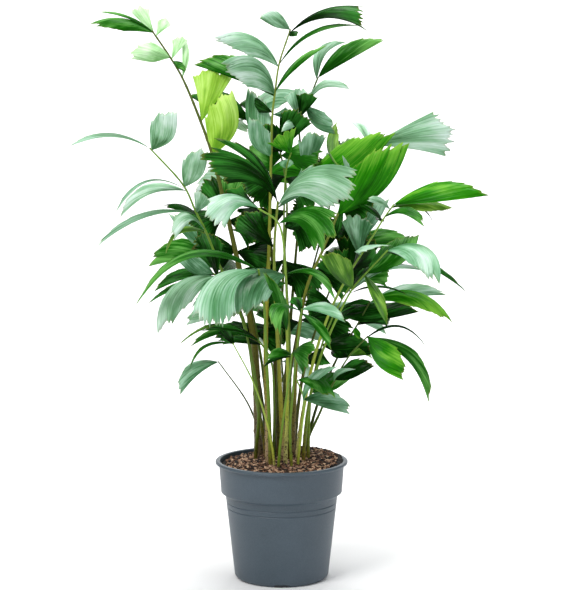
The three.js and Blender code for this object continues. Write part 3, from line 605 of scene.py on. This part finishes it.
# How high each point stands off the spine's plane: ribs, ripples and the cup of the sheet
def leafRelief(node, given, rib, reach, distance, offset):
    ribAt = node("Math", "MULTIPLY", {0: rib, 1: given["Ribs"]})
    ribWave = node("Math", "PINGPONG", {0: ribAt, 1: 0.5})
    ribHigh = node("Math", "MULTIPLY", {0: ribWave, 1: given["Rib Depth"]})
    ribGrow = node("Math", "POWER", {0: reach, 1: 0.6})
    pleat = node("Math", "MULTIPLY", {0: ribHigh, 1: ribGrow})
    rippleAt = node("CombineXYZ", None, {0: rib, 1: distance, 2: given["Seed"]})
    rippleNoise = node("TexNoise", None, {"Vector": rippleAt, "Scale": 2.6, "Detail": 1.5})
    rippleUp = node("Math", "SUBTRACT", {0: rippleNoise, 1: 0.5})
    rippleHigh = node("Math", "MULTIPLY", {0: rippleUp, 1: given["Ripple"]})
    ripple = node("Math", "MULTIPLY_ADD", {0: rippleHigh, 1: reach, 2: pleat})
    spread = node("Math", "ABSOLUTE", {0: offset})
    return node("Math", "MULTIPLY_ADD", {0: spread, 1: given["Cup"], 2: ripple})


# Closes a sheet into a thin solid
def thicken(node, given, sheet):
    thicker = node("ExtrudeMesh", {"mode": "FACES"},
        {"Mesh": sheet, "Offset Scale": given["Thickness"], "Individual": False})
    turned = node("FlipFaces", None, {"Mesh": sheet})
    shell = node("JoinGeometry")
    fill(shell, {0: thicker})
    fill(shell, {0: turned})
    return node("MergeByDistance", None, {"Geometry": shell, "Distance": 0.00002})


# A fishtail leaflet: a sheet whose ribs fan out from the stalk to a torn margin, bent along an arched spine
def makeLeafTree():
    vectors = ["Base", "Bend", "Tip", "Face", "Short Bow", "Short Corner", "Margin", "Long Bow",
        "Long Corner"]
    floats = ["Width", "Tooth Depth", "Teeth", "Ribs", "Rib Depth", "Cup", "Ripple", "Twist", "Thickness",
        "Seed"]
    inputs = [(name, "Vector") for name in vectors] + [(name, "Float") for name in floats]
    inputs += [("Columns", "Int"), ("Rows", "Int"), ("Finish", "Material")]
    node, given = newTree("fishtailLeaflet", inputs)
    grid = node("MeshGrid", None, {"Size X": 1.0, "Size Y": 1.0, "Vertices X": given["Columns"],
        "Vertices Y": given["Rows"]})
    plan = node("SeparateXYZ", None, {0: grid.outputs["UV Map"]})
    rib, reach = plan.outputs[0], plan.outputs[1]
    kept = node("StoreNamedAttribute", {"data_type": "FLOAT2", "domain": "CORNER"},
        {"Geometry": grid, "Name": "leafPlan", "Value": grid.outputs["UV Map"]})
    distance, offset = leafOutline(node, given, rib, reach)
    middle, face, side = leafSpine(node, given, distance)
    height = leafRelief(node, given, rib, reach, distance, offset)
    sideways = node("VectorMath", "SCALE", {0: side, "Scale": offset})
    lifted = node("VectorMath", "SCALE", {0: face, "Scale": height})
    there = node("VectorMath", "ADD", {0: middle, 1: sideways})
    where = node("VectorMath", "ADD", {0: there, 1: lifted})
    faced = node("StoreNamedAttribute", {"data_type": "FLOAT_VECTOR", "domain": "POINT"},
        {"Geometry": kept, "Name": "upperFace", "Value": face})
    shaped = node("SetPosition", None, {"Geometry": faced, "Position": where})
    sheet = node("MergeByDistance", None, {"Geometry": shaped, "Distance": 0.00005})
    closed = thicken(node, given, sheet)
    upperFace = node("InputNamedAttribute", {"data_type": "FLOAT_VECTOR"}, {"Name": "upperFace"})
    facing = node("VectorMath", "DOT_PRODUCT", {0: upperFace, 1: node("InputNormal")})
    below = node("Math", "LESS_THAN", {0: facing.outputs["Value"], 1: 0.0})
    marked = node("StoreNamedAttribute", {"data_type": "FLOAT", "domain": "FACE"},
        {"Geometry": closed, "Name": "underside", "Value": below})
    seeded = node("StoreNamedAttribute", {"data_type": "FLOAT", "domain": "FACE"},
        {"Geometry": marked, "Name": "leafSeed", "Value": given["Seed"]})
    smooth = node("SetShadeSmooth", None, {"Geometry": seeded, "Shade Smooth": True})
    return closeTree(node, smooth, given["Finish"])


# Each frond as it grows: stem radii at the soil and the tip, the joints of the stem as x, y and height above
# the pot's lip, and its leaflets: joint, tip x, y, height, width (negative on the other hand), arch as a
# share of the length, tilt (0 faces the front, 90 faces up), form and tone. In millimetres and degrees
fronds = {
    "frond_fall": {"stem": [5, 2], "joints": [[-22, -54, 0], [-26, -54, 135], [-31, -72, 245],
        [-34, -110, 330], [-44, -158, 404]], "leaves": [
        [4, -275, -210, 340, 30, 0.24, 55, "blade", "mid"],
        [4, -118, -300, 305, -90, 0.2, 10, "fan", "light"]]},
    "frond_front_dark": {"stem": [6, 2.4], "joints": [[3, -28, 0], [-5, -38, 200], [-12, -50, 335],
        [-14, -60, 440], [-7, -68, 530]], "leaves": [
        [4, -150, -190, 605, -70, 0.12, 35, "fan", "deep"],
        [4, -130, -130, 655, 30, 0.12, 60, "blade", "deep"],
        [4, 135, -230, 540, -100, 0.17, 28, "fan", "pale"], [3, -85, -20, 505, 70, 0, 20, "fan", "deep"],
        [4, 80, -15, 595, 50, 0, 0, "fan", "green_sheen"]]},
    "frond_front_left": {"stem": [4.5, 1.8], "joints": [[8, -52, 0], [12, -70, 150], [11, -85, 275],
        [8, -104, 390], [-6, -114, 490], [-45, -128, 520]], "leaves": [
        [5, -135, -235, 495, 60, 0.2, 20, "fan", "light"], [5, -110, -80, 555, 45, 0, 0, "fan", "deep"],
        [4, 90, -235, 455, 80, 0.22, 20, "fan", "mid"],
        [3, -95, -240, 320, -75, 0.1, 20, "blade", "green_sheen"],
        [2, -35, -175, 400, 25, 0.05, 30, "blade", "mid"]]},
    "frond_young": {"stem": [10, 1.8], "joints": [[-47, 25, 0], [-50, 23, 120], [-56, 18, 240],
        [-84, 26, 380], [-117, 42, 525], [-141, 50, 620], [-164, 58, 685], [-202, 66, 775], [-226, 68, 815],
        [-262, 68, 868]], "leaves": [
        [9, -370, 60, 905, 12, 0.06, 60, "strap", "mid"], [9, -385, 40, 880, -30, 0.05, 30, "blade", "mid"],
        [9, -295, 100, 922, 35, 0, 0, "fan", "young"], [9, -235, 115, 895, 30, 0, 10, "fan", "young"],
        [8, -300, 20, 810, 45, 0.15, 20, "blade", "young"], [8, -205, 115, 860, 30, 0, 0, "fan", "young"],
        [7, -205, 135, 862, 16, 0.05, 30, "blade", "young"], [8, -195, 60, 785, 16, 0.1, 30, "blade", "mid"],
        [6, -135, 80, 800, 80, 0, 0, "fan", "lime"], [5, -100, 60, 750, 70, 0, 0, "blade", "lime"]]},
    "frond_crown": {"stem": [6.5, 1.7], "joints": [[-27, -38, 0], [-29, -32, 120], [-32, -8, 240],
        [-25, 40, 445], [-21, 50, 620], [-18, 51, 705], [-13, 51, 745], [-5, 51, 800],
        [18, 42, 870]], "leaves": [
        [8, -45, 0, 890, 35, 0.12, 30, "blade", "pale"], [8, 30, 20, 855, 20, 0.05, 20, "blade", "deep"],
        [8, 185, -20, 885, 60, 0.14, 45, "tail", "deep"], [7, 155, 0, 875, 20, 0.12, 62, "strap", "mid"],
        [6, 90, -20, 835, 22, 0.06, 50, "blade", "mid"], [7, -135, 0, 850, -45, 0.1, 30, "blade", "pale"],
        [6, -120, -20, 800, -60, 0.1, 20, "blade", "pale"], [6, -180, 85, 800, 50, 0.14, 20, "blade", "mid"],
        [5, -90, 175, 720, 30, 0.05, 0, "blade", "deep"], [5, 25, 120, 700, 35, 0, 10, "fan", "green_sheen"],
        [4, -70, 135, 755, 55, 0, 0, "blade", "green_sheen"], [4, -65, 0, 695, 45, 0, 10, "blade", "light"]]},
    "frond_right_pale": {"stem": [6, 1.8], "joints": [[22, 8, 0], [26, 8, 120], [33, 7, 245], [52, 8, 355],
        [82, 8, 425], [113, 0, 500], [143, -8, 575], [180, -8, 640]], "leaves": [
        [7, 350, 0, 660, 90, 0.04, 10, "fan", "pale"], [5, 250, -80, 645, 76, 0.03, 5, "blade", "bright"],
        [6, 115, 110, 685, 30, -0.15, 30, "blade", "olive"], [7, 140, 80, 685, 20, 0.1, 20, "blade", "pale"],
        [6, 120, -60, 620, 12, 0, 20, "strap", "pale"], [4, 125, 45, 505, 30, 0, 20, "blade", "deep"]]},
    "frond_right_high": {"stem": [5, 1.7], "joints": [[0, 32, 0], [5, 40, 115], [17, 65, 260], [30, 85, 420],
        [44, 94, 570], [37, 102, 695], [52, 102, 722], [75, 118, 775]], "leaves": [
        [7, 210, 100, 850, 36, 0.1, 20, "blade", "mid"], [7, 135, 195, 850, 25, 0.2, 40, "blade", "green_sheen"],
        [6, 140, 60, 750, 26, 0.25, 50, "blade", "pale"], [6, 110, 80, 660, 36, 0, 0, "blade", "green_sheen"],
        [5, 55, 60, 745, 45, 0, 10, "fan", "deep"], [5, 30, 175, 755, 60, 0, 0, "fan", "green_sheen"],
        [4, 65, 20, 670, 55, 0, 0, "fan", "green_sheen"], [4, 225, -60, 665, 65, 0, 10, "blade", "bright"],
        [5, 0, 20, 665, 20, 0.05, 20, "strap", "pale"]]},
    "frond_mid_green": {"stem": [4.5, 1.6], "joints": [[16, -18, 0], [17, -24, 170], [15, -37, 270],
        [9, -45, 385], [5, -48, 480], [10, -51, 595], [19, -60, 625]], "leaves": [
        [6, 0, -115, 665, 65, 0, 10, "fan", "bright"], [5, 10, 40, 610, 30, 0, 0, "blade", "green_sheen"],
        [4, 45, -20, 490, 30, 0, 20, "blade", "deep"], [3, 105, -135, 340, 20, 0.2, 40, "blade", "mid"],
        [2, -30, 55, 315, 65, 0, 10, "fan", "deep"]]},
    "frond_left_reach": {"stem": [5, 1.6], "joints": [[-30, -8, 0], [-50, -16, 125], [-72, -15, 270],
        [-107, -42, 360], [-151, -68, 475], [-168, -76, 510], [-190, -85, 560],
        [-255, -102, 635]], "leaves": [
        [7, -405, -155, 640, 20, 0.12, 70, "strap", "green_sheen"],
        [7, -200, -135, 705, 55, 0.05, 10, "blade", "pale"],
        [6, -140, -135, 630, 50, 0.08, 10, "blade", "pale"],
        [6, -315, -175, 515, 20, 0.2, 72, "strap", "green_sheen"],
        [6, -315, -100, 500, 30, 0.2, 50, "blade", "pale"], [5, -150, -115, 550, 45, 0, 10, "fan", "pale"],
        [5, -350, -195, 450, 20, 0.1, 65, "strap", "green_sheen"],
        [5, -235, -40, 520, -20, 0.05, 55, "blade", "deep"],
        [4, -205, -175, 460, 30, 0.3, 40, "blade", "pale"],
        [4, -230, -40, 425, 20, 0.25, 60, "blade", "olive"]]},
    "frond_left_mid": {"stem": [4.5, 1.6], "joints": [[-53, -5, 0], [-46, -41, 110], [-59, -52, 215],
        [-82, -63, 305], [-109, -76, 360], [-134, -85, 390]], "leaves": [
        [5, -200, -115, 415, 35, 0.05, 20, "blade", "green_sheen"],
        [5, -250, -100, 355, 30, 0.14, 45, "blade", "deep"],
        [5, -235, -205, 285, -50, 0.12, 10, "blade", "pale"],
        [4, -265, -40, 325, 20, 0.12, 50, "blade", "deep"], [4, -180, -35, 315, 15, 0.1, 40, "blade", "pale"],
        [5, -145, -20, 470, 60, 0, 15, "fan", "deep"]]},
    "frond_right_mid": {"stem": [5, 1.6], "joints": [[32, -10, 0], [41, -15, 85], [65, -26, 210],
        [99, -48, 315], [136, -60, 390], [157, -68, 425], [182, -68, 465], [203, -76, 500],
        [221, -76, 525]], "leaves": [
        [8, 400, -135, 545, 45, 0.08, 30, "blade", "bright"],
        [8, 340, -60, 515, -30, 0.03, 30, "blade", "olive"], [8, 305, 0, 480, 16, 0.15, 65, "blade", "deep"],
        [7, 275, -155, 485, 26, 0.2, 45, "blade", "mid"], [8, 165, -135, 535, 20, 0.1, 45, "blade", "pale"],
        [7, 190, -20, 490, 20, 0, 20, "blade", "deep"], [7, 140, 0, 520, 20, 0.08, 50, "blade", "deep"],
        [5, 195, -235, 455, 55, 0.1, 20, "fan", "light"], [4, 190, 40, 430, 65, 0, 10, "fan", "deep"],
        [5, 150, -20, 505, 65, 0, 0, "fan", "green_sheen"]]},
    "frond_right_front": {"stem": [4.5, 1.5], "joints": [[44, -30, 0], [53, -46, 110], [72, -71, 205],
        [101, -98, 285], [139, -128, 365], [164, -136, 395], [205, -144, 440]], "leaves": [
        [6, 295, -255, 385, -50, 0.16, 20, "blade", "light"],
        [6, 360, -115, 355, 20, 0.06, 60, "blade", "deep"], [5, 270, -80, 465, 55, 0, 20, "blade", "mid"],
        [4, 70, -235, 440, 45, 0.08, 10, "blade", "olive"],
        [5, 200, -215, 305, 25, 0.05, 10, "strap", "olive"], [4, 210, -40, 395, 30, 0.1, 45, "blade", "deep"],
        [4, 285, -115, 395, 16, 0.15, 60, "strap", "pale"],
        [4, 240, -150, 355, 12, 0.1, 70, "strap", "deep"]]},
    "frond_right_arch": {"stem": [4.5, 1.5], "joints": [[50, 50, 0], [70, 20, 100], [98, 10, 175],
        [124, 2, 230], [155, 0, 280], [178, -8, 325]], "leaves": [
        [5, 335, -105, 295, -36, 0.14, 30, "blade", "bright"],
        [5, 335, 20, 335, 30, 0.1, 30, "blade", "pale"], [4, 280, 25, 300, 36, 0.1, 40, "blade", "deep"],
        [4, 225, 75, 280, 36, 0.05, 30, "fan", "deep"], [4, 155, -20, 250, 16, 0, 20, "blade", "bright"],
        [5, 100, -85, 285, 20, 0.1, 55, "blade", "deep"]]},
    "frond_right_droop": {"stem": [4, 1.4], "joints": [[40, 22, 0], [78, -14, 100], [108, -30, 170],
        [137, -35, 220], [173, -43, 260]], "leaves": [
        [4, 240, -100, 180, 55, 0.05, 10, "blade", "bright"], [4, 295, -50, 125, 30, 0.2, 45, "blade", "mid"],
        [4, 290, -30, 235, 12, 0.25, 65, "strap", "deep"], [2, 185, -80, 205, 45, 0.1, 40, "blade", "deep"],
        [3, 185, 5, 205, 20, 0.2, 45, "blade", "olive"], [3, 100, 20, 220, 30, 0.05, 40, "blade", "deep"],
        [2, 145, -120, 205, 12, 0.12, 20, "strap", "light"]]},
    "frond_low_right": {"stem": [3.5, 1.6], "joints": [[33, -50, 0], [40, -66, 75], [44, -88, 140],
        [30, -115, 183]], "leaves": [
        [3, 104, -186, 158, -28, 0.1, 30, "blade", "mid"],
        [2, 135, -120, 115, 38, 0.15, 25, "blade", "green_sheen"],
        [2, 110, -180, 220, 20, 0.12, 30, "blade", "light"]]},
    "frond_front_small": {"stem": [3.5, 1.4], "joints": [[20, -68, 0], [17, -72, 75], [23, -96, 160],
        [30, -136, 245], [39, -180, 330]], "leaves": [
        [4, 120, -270, 315, 26, 0.12, 35, "blade", "light"], [4, 0, -295, 290, 30, 0.3, 40, "blade", "mid"],
        [4, 95, -210, 255, 20, 0.1, 30, "blade", "mid"], [4, 20, -140, 350, 26, 0.1, 20, "fan", "deep"]]},
    "frond_front_gloss": {"stem": [3.5, 1.4], "joints": [[-6, -75, 0], [0, -76, 70], [9, -96, 140],
        [21, -140, 240]], "leaves": [
        [3, 55, -220, 235, 70, 0.1, 25, "fan", "mid"], [3, -30, -200, 235, 20, 0.12, 30, "blade", "mid"],
        [3, -35, -100, 205, 12, 0.1, 50, "blade", "deep"]]},
    "frond_low_left": {"stem": [3.8, 1.6], "joints": [[-16, -20, 0], [-15, -34, 130], [-22, -50, 215],
        [-46, -64, 255]], "leaves": [
        [3, -155, -155, 285, 20, 0.08, 65, "blade", "deep"],
        [3, -180, -95, 245, 20, 0.18, 55, "blade", "mid"], [3, -205, -30, 240, 12, 0.2, 65, "strap", "olive"],
        [3, -130, 0, 245, 20, 0.05, 45, "blade", "deep"]]},
    "frond_low_thin": {"stem": [3, 1.2], "joints": [[-14, -66, 0], [-27, -88, 85], [-55, -104, 175],
        [-95, -115, 255]], "leaves": [
        [3, -180, -105, 205, 12, 0.2, 65, "strap", "mid"],
        [3, -145, -50, 285, 26, 0.1, 40, "blade", "deep"]]},
    "frond_low_dark": {"stem": [3, 1.2], "joints": [[-40, 52, 0], [-50, 50, 55], [-70, 40, 110],
        [-129, 15, 200]], "leaves": [
        [3, -205, -15, 135, 32, 0.2, 35, "blade", "green_sheen"]]},
    "frond_inner_left": {"stem": [4.5, 1.6], "joints": [[-24, 18, 0], [-36, 32, 160], [-52, 40, 260],
        [-71, 55, 340], [-94, 70, 425], [-114, 80, 495]], "leaves": [
        [5, -180, 40, 460, 98, 0.1, 20, "fan", "deep"], [5, -160, 110, 570, 68, 0.05, 10, "fan", "deep"],
        [5, -85, 60, 575, 68, 0.05, 10, "fan", "mid"], [5, -35, 40, 460, 92, 0.08, 20, "fan", "deep"],
        [4, -175, 10, 400, 82, 0.12, 20, "blade", "deep"], [4, -20, 30, 400, 92, 0.05, 10, "fan", "deep"],
        [3, -160, 20, 320, 92, 0.1, 20, "fan", "deep"], [3, 5, 20, 335, 92, 0.05, 15, "fan", "deep"],
        [2, -135, 0, 250, 45, 0.12, 30, "blade", "deep"], [2, 5, 30, 240, 76, 0.05, 15, "fan", "deep"]]},
    "frond_inner_tall": {"stem": [5, 1.8], "joints": [[-6, 8, 0], [-7, 15, 160], [-1, 30, 285], [5, 45, 405],
        [11, 60, 505], [7, 75, 575], [-3, 85, 625]], "leaves": [
        [6, -50, 60, 675, 62, 0.05, 10, "blade", "deep"], [6, 40, 60, 710, 68, 0.05, 10, "fan", "deep"],
        [6, 80, 40, 610, 98, 0.05, 10, "fan", "mid"], [6, -75, 100, 605, 76, 0.08, 20, "blade", "mid"],
        [5, -70, 40, 530, 105, 0.08, 20, "fan", "deep"], [5, 80, 40, 525, 105, 0.08, 20, "fan", "deep"],
        [4, -80, 60, 450, 105, 0.08, 20, "fan", "deep"], [4, 85, 30, 440, 105, 0.08, 20, "fan", "deep"],
        [3, -65, 30, 335, 98, 0.08, 20, "fan", "deep"], [3, 75, 30, 335, 92, 0.08, 20, "fan", "deep"]]},
    "frond_inner_right": {"stem": [4.5, 1.6], "joints": [[14, 44, 0], [17, 55, 155], [38, 65, 280],
        [63, 75, 380], [89, 85, 475], [108, 90, 545]], "leaves": [
        [5, 190, 60, 595, 92, 0.05, 15, "fan", "mid"], [5, 140, 100, 650, 68, 0.05, 10, "blade", "green_sheen"],
        [5, 60, 110, 610, 76, 0.05, 10, "fan", "deep"], [5, 180, 60, 495, 98, 0.08, 20, "fan", "deep"],
        [4, 170, 40, 435, 98, 0.08, 20, "fan", "deep"], [4, 15, 60, 475, 98, 0.08, 20, "fan", "deep"],
        [3, 155, 40, 355, 92, 0.08, 20, "fan", "deep"], [3, 5, 60, 360, 98, 0.08, 20, "fan", "deep"],
        [2, 145, 40, 255, 76, 0.08, 20, "fan", "deep"], [2, -25, 50, 250, 76, 0.08, 20, "fan", "deep"]]},
    "frond_inner_low": {"stem": [4, 1.5], "joints": [[54, -12, 0], [60, -8, 140], [82, 8, 235],
        [111, 20, 305], [143, 22, 360]], "leaves": [
        [4, 220, 0, 390, 68, 0.08, 20, "fan", "mid"], [4, 165, 30, 465, 92, 0.03, 10, "fan", "deep"],
        [4, 90, 20, 425, 76, 0.03, 10, "fan", "deep"], [3, 45, -10, 325, 76, 0.08, 20, "fan", "deep"],
        [3, 215, -10, 290, 50, 0.1, 25, "blade", "deep"], [2, 185, -20, 220, 50, 0.1, 25, "blade", "deep"],
        [2, 70, -25, 195, 62, 0.08, 20, "fan", "deep"], [1, 140, -20, 170, 40, 0.1, 25, "blade", "mid"]]},
    "frond_back_high": {"stem": [6, 1.8], "joints": [[-10, 66, 0], [-14, 90, 200], [-20, 130, 400],
        [-40, 175, 560], [-70, 235, 690]], "leaves": [
        [4, -90, 400, 660, 80, 0.15, 20, "fan", "mid"], [4, -200, 260, 740, 50, 0.1, 20, "blade", "deep"],
        [4, 40, 330, 750, -50, 0.1, 20, "blade", "green_sheen"],
        [3, -190, 270, 520, 60, 0.15, 20, "blade", "pale"],
        [3, 90, 280, 560, -60, 0.12, 20, "blade", "bright"]]},
    "frond_back_left": {"stem": [5, 1.6], "joints": [[-30, 78, 0], [-50, 100, 160], [-90, 140, 300],
        [-140, 200, 400]], "leaves": [
        [3, -290, 270, 370, 50, 0.15, 30, "blade", "mid"], [3, -160, 350, 360, -70, 0.2, 20, "fan", "deep"],
        [3, -240, 190, 490, 40, 0.05, 20, "blade", "green_sheen"],
        [2, -200, 120, 260, 40, 0.12, 30, "blade", "pale"],
        [2, -40, 280, 270, -50, 0.15, 20, "blade", "bright"]]},
    "frond_back_right": {"stem": [5, 1.6], "joints": [[26, 70, 0], [45, 100, 160], [90, 150, 300],
        [140, 205, 420]], "leaves": [
        [3, 300, 250, 400, 50, 0.15, 30, "blade", "mid"], [3, 150, 360, 390, -70, 0.2, 20, "fan", "deep"],
        [3, 230, 220, 520, 45, 0.05, 20, "blade", "green_sheen"],
        [2, 220, 130, 240, 40, 0.12, 30, "blade", "pale"],
        [2, 50, 290, 250, -50, 0.15, 20, "blade", "bright"]]},
    "frond_back_low": {"stem": [4, 1.5], "joints": [[4, 84, 0], [5, 115, 100], [0, 160, 180],
        [-5, 215, 240]], "leaves": [
        [3, -20, 350, 170, 70, 0.15, 20, "fan", "mid"], [3, -130, 260, 200, 40, 0.1, 30, "blade", "deep"],
        [3, 110, 260, 210, -40, 0.1, 30, "blade", "green_sheen"],
        [2, 60, 250, 110, -30, 0.15, 30, "blade", "pale"]]},
}


def place(point):
    x, y, z = point
    return Vector((x * mm, y * mm, (potSizes["height"] + z) * mm))


# Points evenly spread on a centripetal Catmull-Rom curve through the joints
def smoothPath(joints, perSpan):
    ends = [2 * joints[0] - joints[1]] + joints + [2 * joints[-1] - joints[-2]]
    points = []
    for i in range(1, len(ends) - 2):
        p0, p1, p2, p3 = ends[i - 1:i + 3]
        t1 = math.sqrt((p1 - p0).length)
        t2 = t1 + math.sqrt((p2 - p1).length)
        t3 = t2 + math.sqrt((p3 - p2).length)
        for step in range(perSpan):
            t = t1 + (t2 - t1) * step / perSpan
            a1 = p0.lerp(p1, t / t1)
            a2 = p1.lerp(p2, (t - t1) / (t2 - t1))
            a3 = p2.lerp(p3, (t - t2) / (t3 - t2))
            b1 = a1.lerp(a2, t / t2)
            b2 = a2.lerp(a3, (t - t1) / (t3 - t1))
            points.append(b1.lerp(b2, (t - t1) / (t2 - t1)))
    points.append(joints[-1])
    return points


def stemCurve(frond):
    joints = [place(point) for point in frond["joints"]]
    root = joints[0] - Vector((0, 0, stemSizes["rootDepth"] * mm))
    points = smoothPath([root] + joints, stemSizes["perSpan"])
    lengths = [0.0]
    for a, b in zip(points, points[1:]):
        lengths.append(lengths[-1] + (b - a).length)
    rootRadius, tipRadius = frond["stem"]
    curve = bpy.data.curves.new("stem", "CURVE")
    curve.dimensions = "3D"
    spline = curve.splines.new("POLY")
    spline.points.add(len(points) - 1)
    for point, where, length in zip(spline.points, points, lengths):
        share = length / lengths[-1]
        point.co = (*where, 1)
        point.radius = (tipRadius + (rootRadius - tipRadius) * (1 - share) ** stemSizes["taper"]) * mm
    return curve


def leafPlace(frond, leaf):
    joints = [place(point) for point in frond["joints"]]
    joint, x, y, z, width, arch, tilt = leaf[:7]
    sameJoint = [other for other in frond["leaves"] if other[0] == joint]
    down = (joints[joint - 1] - joints[joint]).normalized()
    base = joints[joint] + down * (leafSizes["inset"] + sameJoint.index(leaf) * leafSizes["pitch"]) * mm
    tip = place((x, y, z))
    along = (tip - base).normalized()
    front = Vector((0, -1, 0))
    if abs(along.dot(front)) > 0.92:
        front = Vector((0, 0, 1))
    face = (front - along * front.dot(along)).normalized()
    up = along.cross(face)
    if up.z < 0:
        up.negate()
    turn = math.radians(tilt)
    normal = face * math.cos(turn) + up * math.sin(turn)
    across = up * math.cos(turn) - face * math.sin(turn)
    hand = 1 if normal.cross(along).dot(across) > 0 else -1
    length = (tip - base).length
    bend = (base + tip) / 2 + up * 2 * arch * length + normal * leafSizes["lift"] * length
    return base, bend, tip, normal, width * hand * mm


def leafMesh(tree, frond, leaf, finish, rand):
    base, bend, tip, normal, width = leafPlace(frond, leaf)
    form = leafForms[leaf[7]]
    size = max(abs(width) / mm, (tip - base).length / mm * 0.25)
    ribs = max(leafSizes["fewestRibs"], round(size / leafSizes["ribSpacing"]))
    flat = {name: (*form[key], 0.0) for name, key in (("Short Bow", "shortBow"),
        ("Short Corner", "shortCorner"), ("Margin", "margin"), ("Long Bow", "longBow"),
        ("Long Corner", "longCorner"))}
    return evaluate(tree, bpy.data.meshes.new("empty"),
        {"Base": base, "Bend": bend, "Tip": tip, "Face": normal, "Width": width, **flat,
        "Tooth Depth": form["toothDepth"], "Teeth": max(leafSizes["fewestTeeth"],
        size / leafSizes["toothSpacing"]), "Ribs": float(ribs), "Rib Depth": leafSizes["ribDepth"] * mm,
        "Cup": -leafSizes["cup"], "Ripple": leafSizes["ripple"] * mm * min(1.6, size / 40),
        "Twist": rand.uniform(-leafSizes["twist"], leafSizes["twist"]),
        "Thickness": leafSizes["thickness"] * mm, "Seed": rand.uniform(1, 60),
        "Columns": ribs * leafSizes["columnsPerRib"] + 1, "Rows": leafSizes["rows"], "Finish": finish})


# How dark a stem is painted: painted shade, deeper at the back where the fronds shade the stems, and a tone
# that differs a little from its neighbours
def stemShade(frond, number):
    s = stemSizes
    shade = s["shade"] + frond["joints"][0][1] * s["shadeDepth"] + (number * 7 % 5 - 2) * s["shadeStep"]
    return min(s["shadeMost"], max(0.0, shade))


def makeFronds(leafTree, stemTree, leafMaterials, stemMaterials):
    for number, (name, frond) in enumerate(fronds.items()):
        rand = random.Random(leafSizes["seed"] * 100 + number)
        pale = number % stemSizes["paleEvery"] == 2
        kind = "cane" if frond["stem"][0] >= stemSizes["caneRadius"] else "pale" if pale else "stalk"
        finish = stemMaterials[kind]
        stem = evaluate(stemTree, stemCurve(frond),
            {"Sides": stemSizes["sides"], "Step": stemSizes["step"] * mm, "Finish": finish,
            "Shade": stemShade(frond, number), "Ring Spacing": stemSizes["ringSpacing"] * mm,
            "Ring Height": stemSizes["ringHeight"]})
        blades = [leafMesh(leafTree, frond, leaf, leafMaterials[leaf[8]], rand) for leaf in frond["leaves"]]
        piece = joinMeshes(name.replace("frond_", "palm_frond_"), [stem] + blades)
        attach(piece, "root")
        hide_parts(name)
    print("fronds made:", len(fronds))


# Each lamp: place and aim in metres, size, power in watts and colour
lamps = {
    "keyLeft": ((-1.8, -2.2, 3.4), (0, 0, 0.7), 1.6, 105, "#ffffff"),
    "fillRight": ((2.8, -2.4, 1.6), (0, 0, 0.6), 2.2, 30, "#f2f7ff"),
    "top": ((0.3, 0.5, 3.6), (0, 0, 0.6), 2.0, 80, "#ffffff"),
    "backdrop": ((0, 1.8, 3.4), (0, 5.5, 1.2), 3.0, 170, "#ffffff"),
}
worldLight = 0.28


# White paper that curves up behind the object
def makeSweep():
    floor = bpy.data.meshes.new("studio_sweep")
    build = bmesh.new()
    outline = [(-6, 0)] + [(3 + 2 * math.sin(a), 2 - 2 * math.cos(a))
        for a in [math.radians(6 * i) for i in range(16)]] + [(5, 7)]
    rows = [[build.verts.new((x, y, z)) for x in (-8, 8)] for y, z in outline]
    for a, b in zip(rows, rows[1:]):
        build.faces.new((a[0], a[1], b[1], b[0]))
    for facet in build.faces:
        facet.smooth = True
    build.to_mesh(floor)
    build.free()
    material, _, shader = newMaterial("matt_white_paper")
    fill(shader, {"Base Color": toLinear("#f7f7f7"), "Roughness": 0.9})
    floor.materials.append(material)
    sweep = bpy.data.objects.new("studio_sweep", floor)
    scene.collection.objects.link(sweep)
    print("sweep made")


def makeLamps():
    for name, (spot, aim, size, power, colour) in lamps.items():
        lamp = bpy.data.lights.new(name, "AREA")
        lamp.size = size
        lamp.energy = power
        lamp.color = toLinear(colour)[:3]
        light = bpy.data.objects.new(name, lamp)
        light.location = spot
        light.rotation_euler = (Vector(aim) - light.location).to_track_quat("-Z", "Y").to_euler()
        scene.collection.objects.link(light)
    print("lamps made:", len(lamps))


def makeWorld():
    world = bpy.data.worlds.new("paleStudio")
    world.use_nodes = True
    world.node_tree.nodes["Background"].inputs[0].default_value = toLinear("#ffffff")
    world.node_tree.nodes["Background"].inputs[1].default_value = worldLight
    scene.world = world
    scene.view_settings.view_transform = "Standard"
    print("world made")


viewSizes = {"across": 0.007, "back": 3.4, "height": 0.9498, "tilt": 6.2166, "lens": 103.42}


def makeCamera():
    lens = bpy.data.cameras.new("camera")
    lens.lens = viewSizes["lens"]
    camera = bpy.data.objects.new("camera", lens)
    camera.location = (viewSizes["across"], -viewSizes["back"], viewSizes["height"])
    camera.rotation_euler = (math.radians(90 - viewSizes["tilt"]), 0, 0)
    scene.collection.objects.link(camera)
    scene.camera = camera
    print("camera placed")


makeCamera()
makeSweep()
makeLamps()
makeWorld()
makePot(makePotMaterial())
makeSoil(makeChipTree(), makeBarkMaterial(), makePerliteMaterial())
stemMaterials = {
    "cane": makeStemMaterial("palm_cane", "#a88e6c", "#98922a", "#809438"),
    "stalk": makeStemMaterial("palm_leaf_stalk", "#74641e", "#627e12", "#749c34"),
    "pale": makeStemMaterial("palm_young_stalk", "#d6ce84", "#a8b03c", "#86ac44"),
}
leafMaterials = {name: makeLeafMaterial(name, tone) for name, tone in leafTones.items()}
makeFronds(makeLeafTree(), makeStemTree(), leafMaterials, stemMaterials)
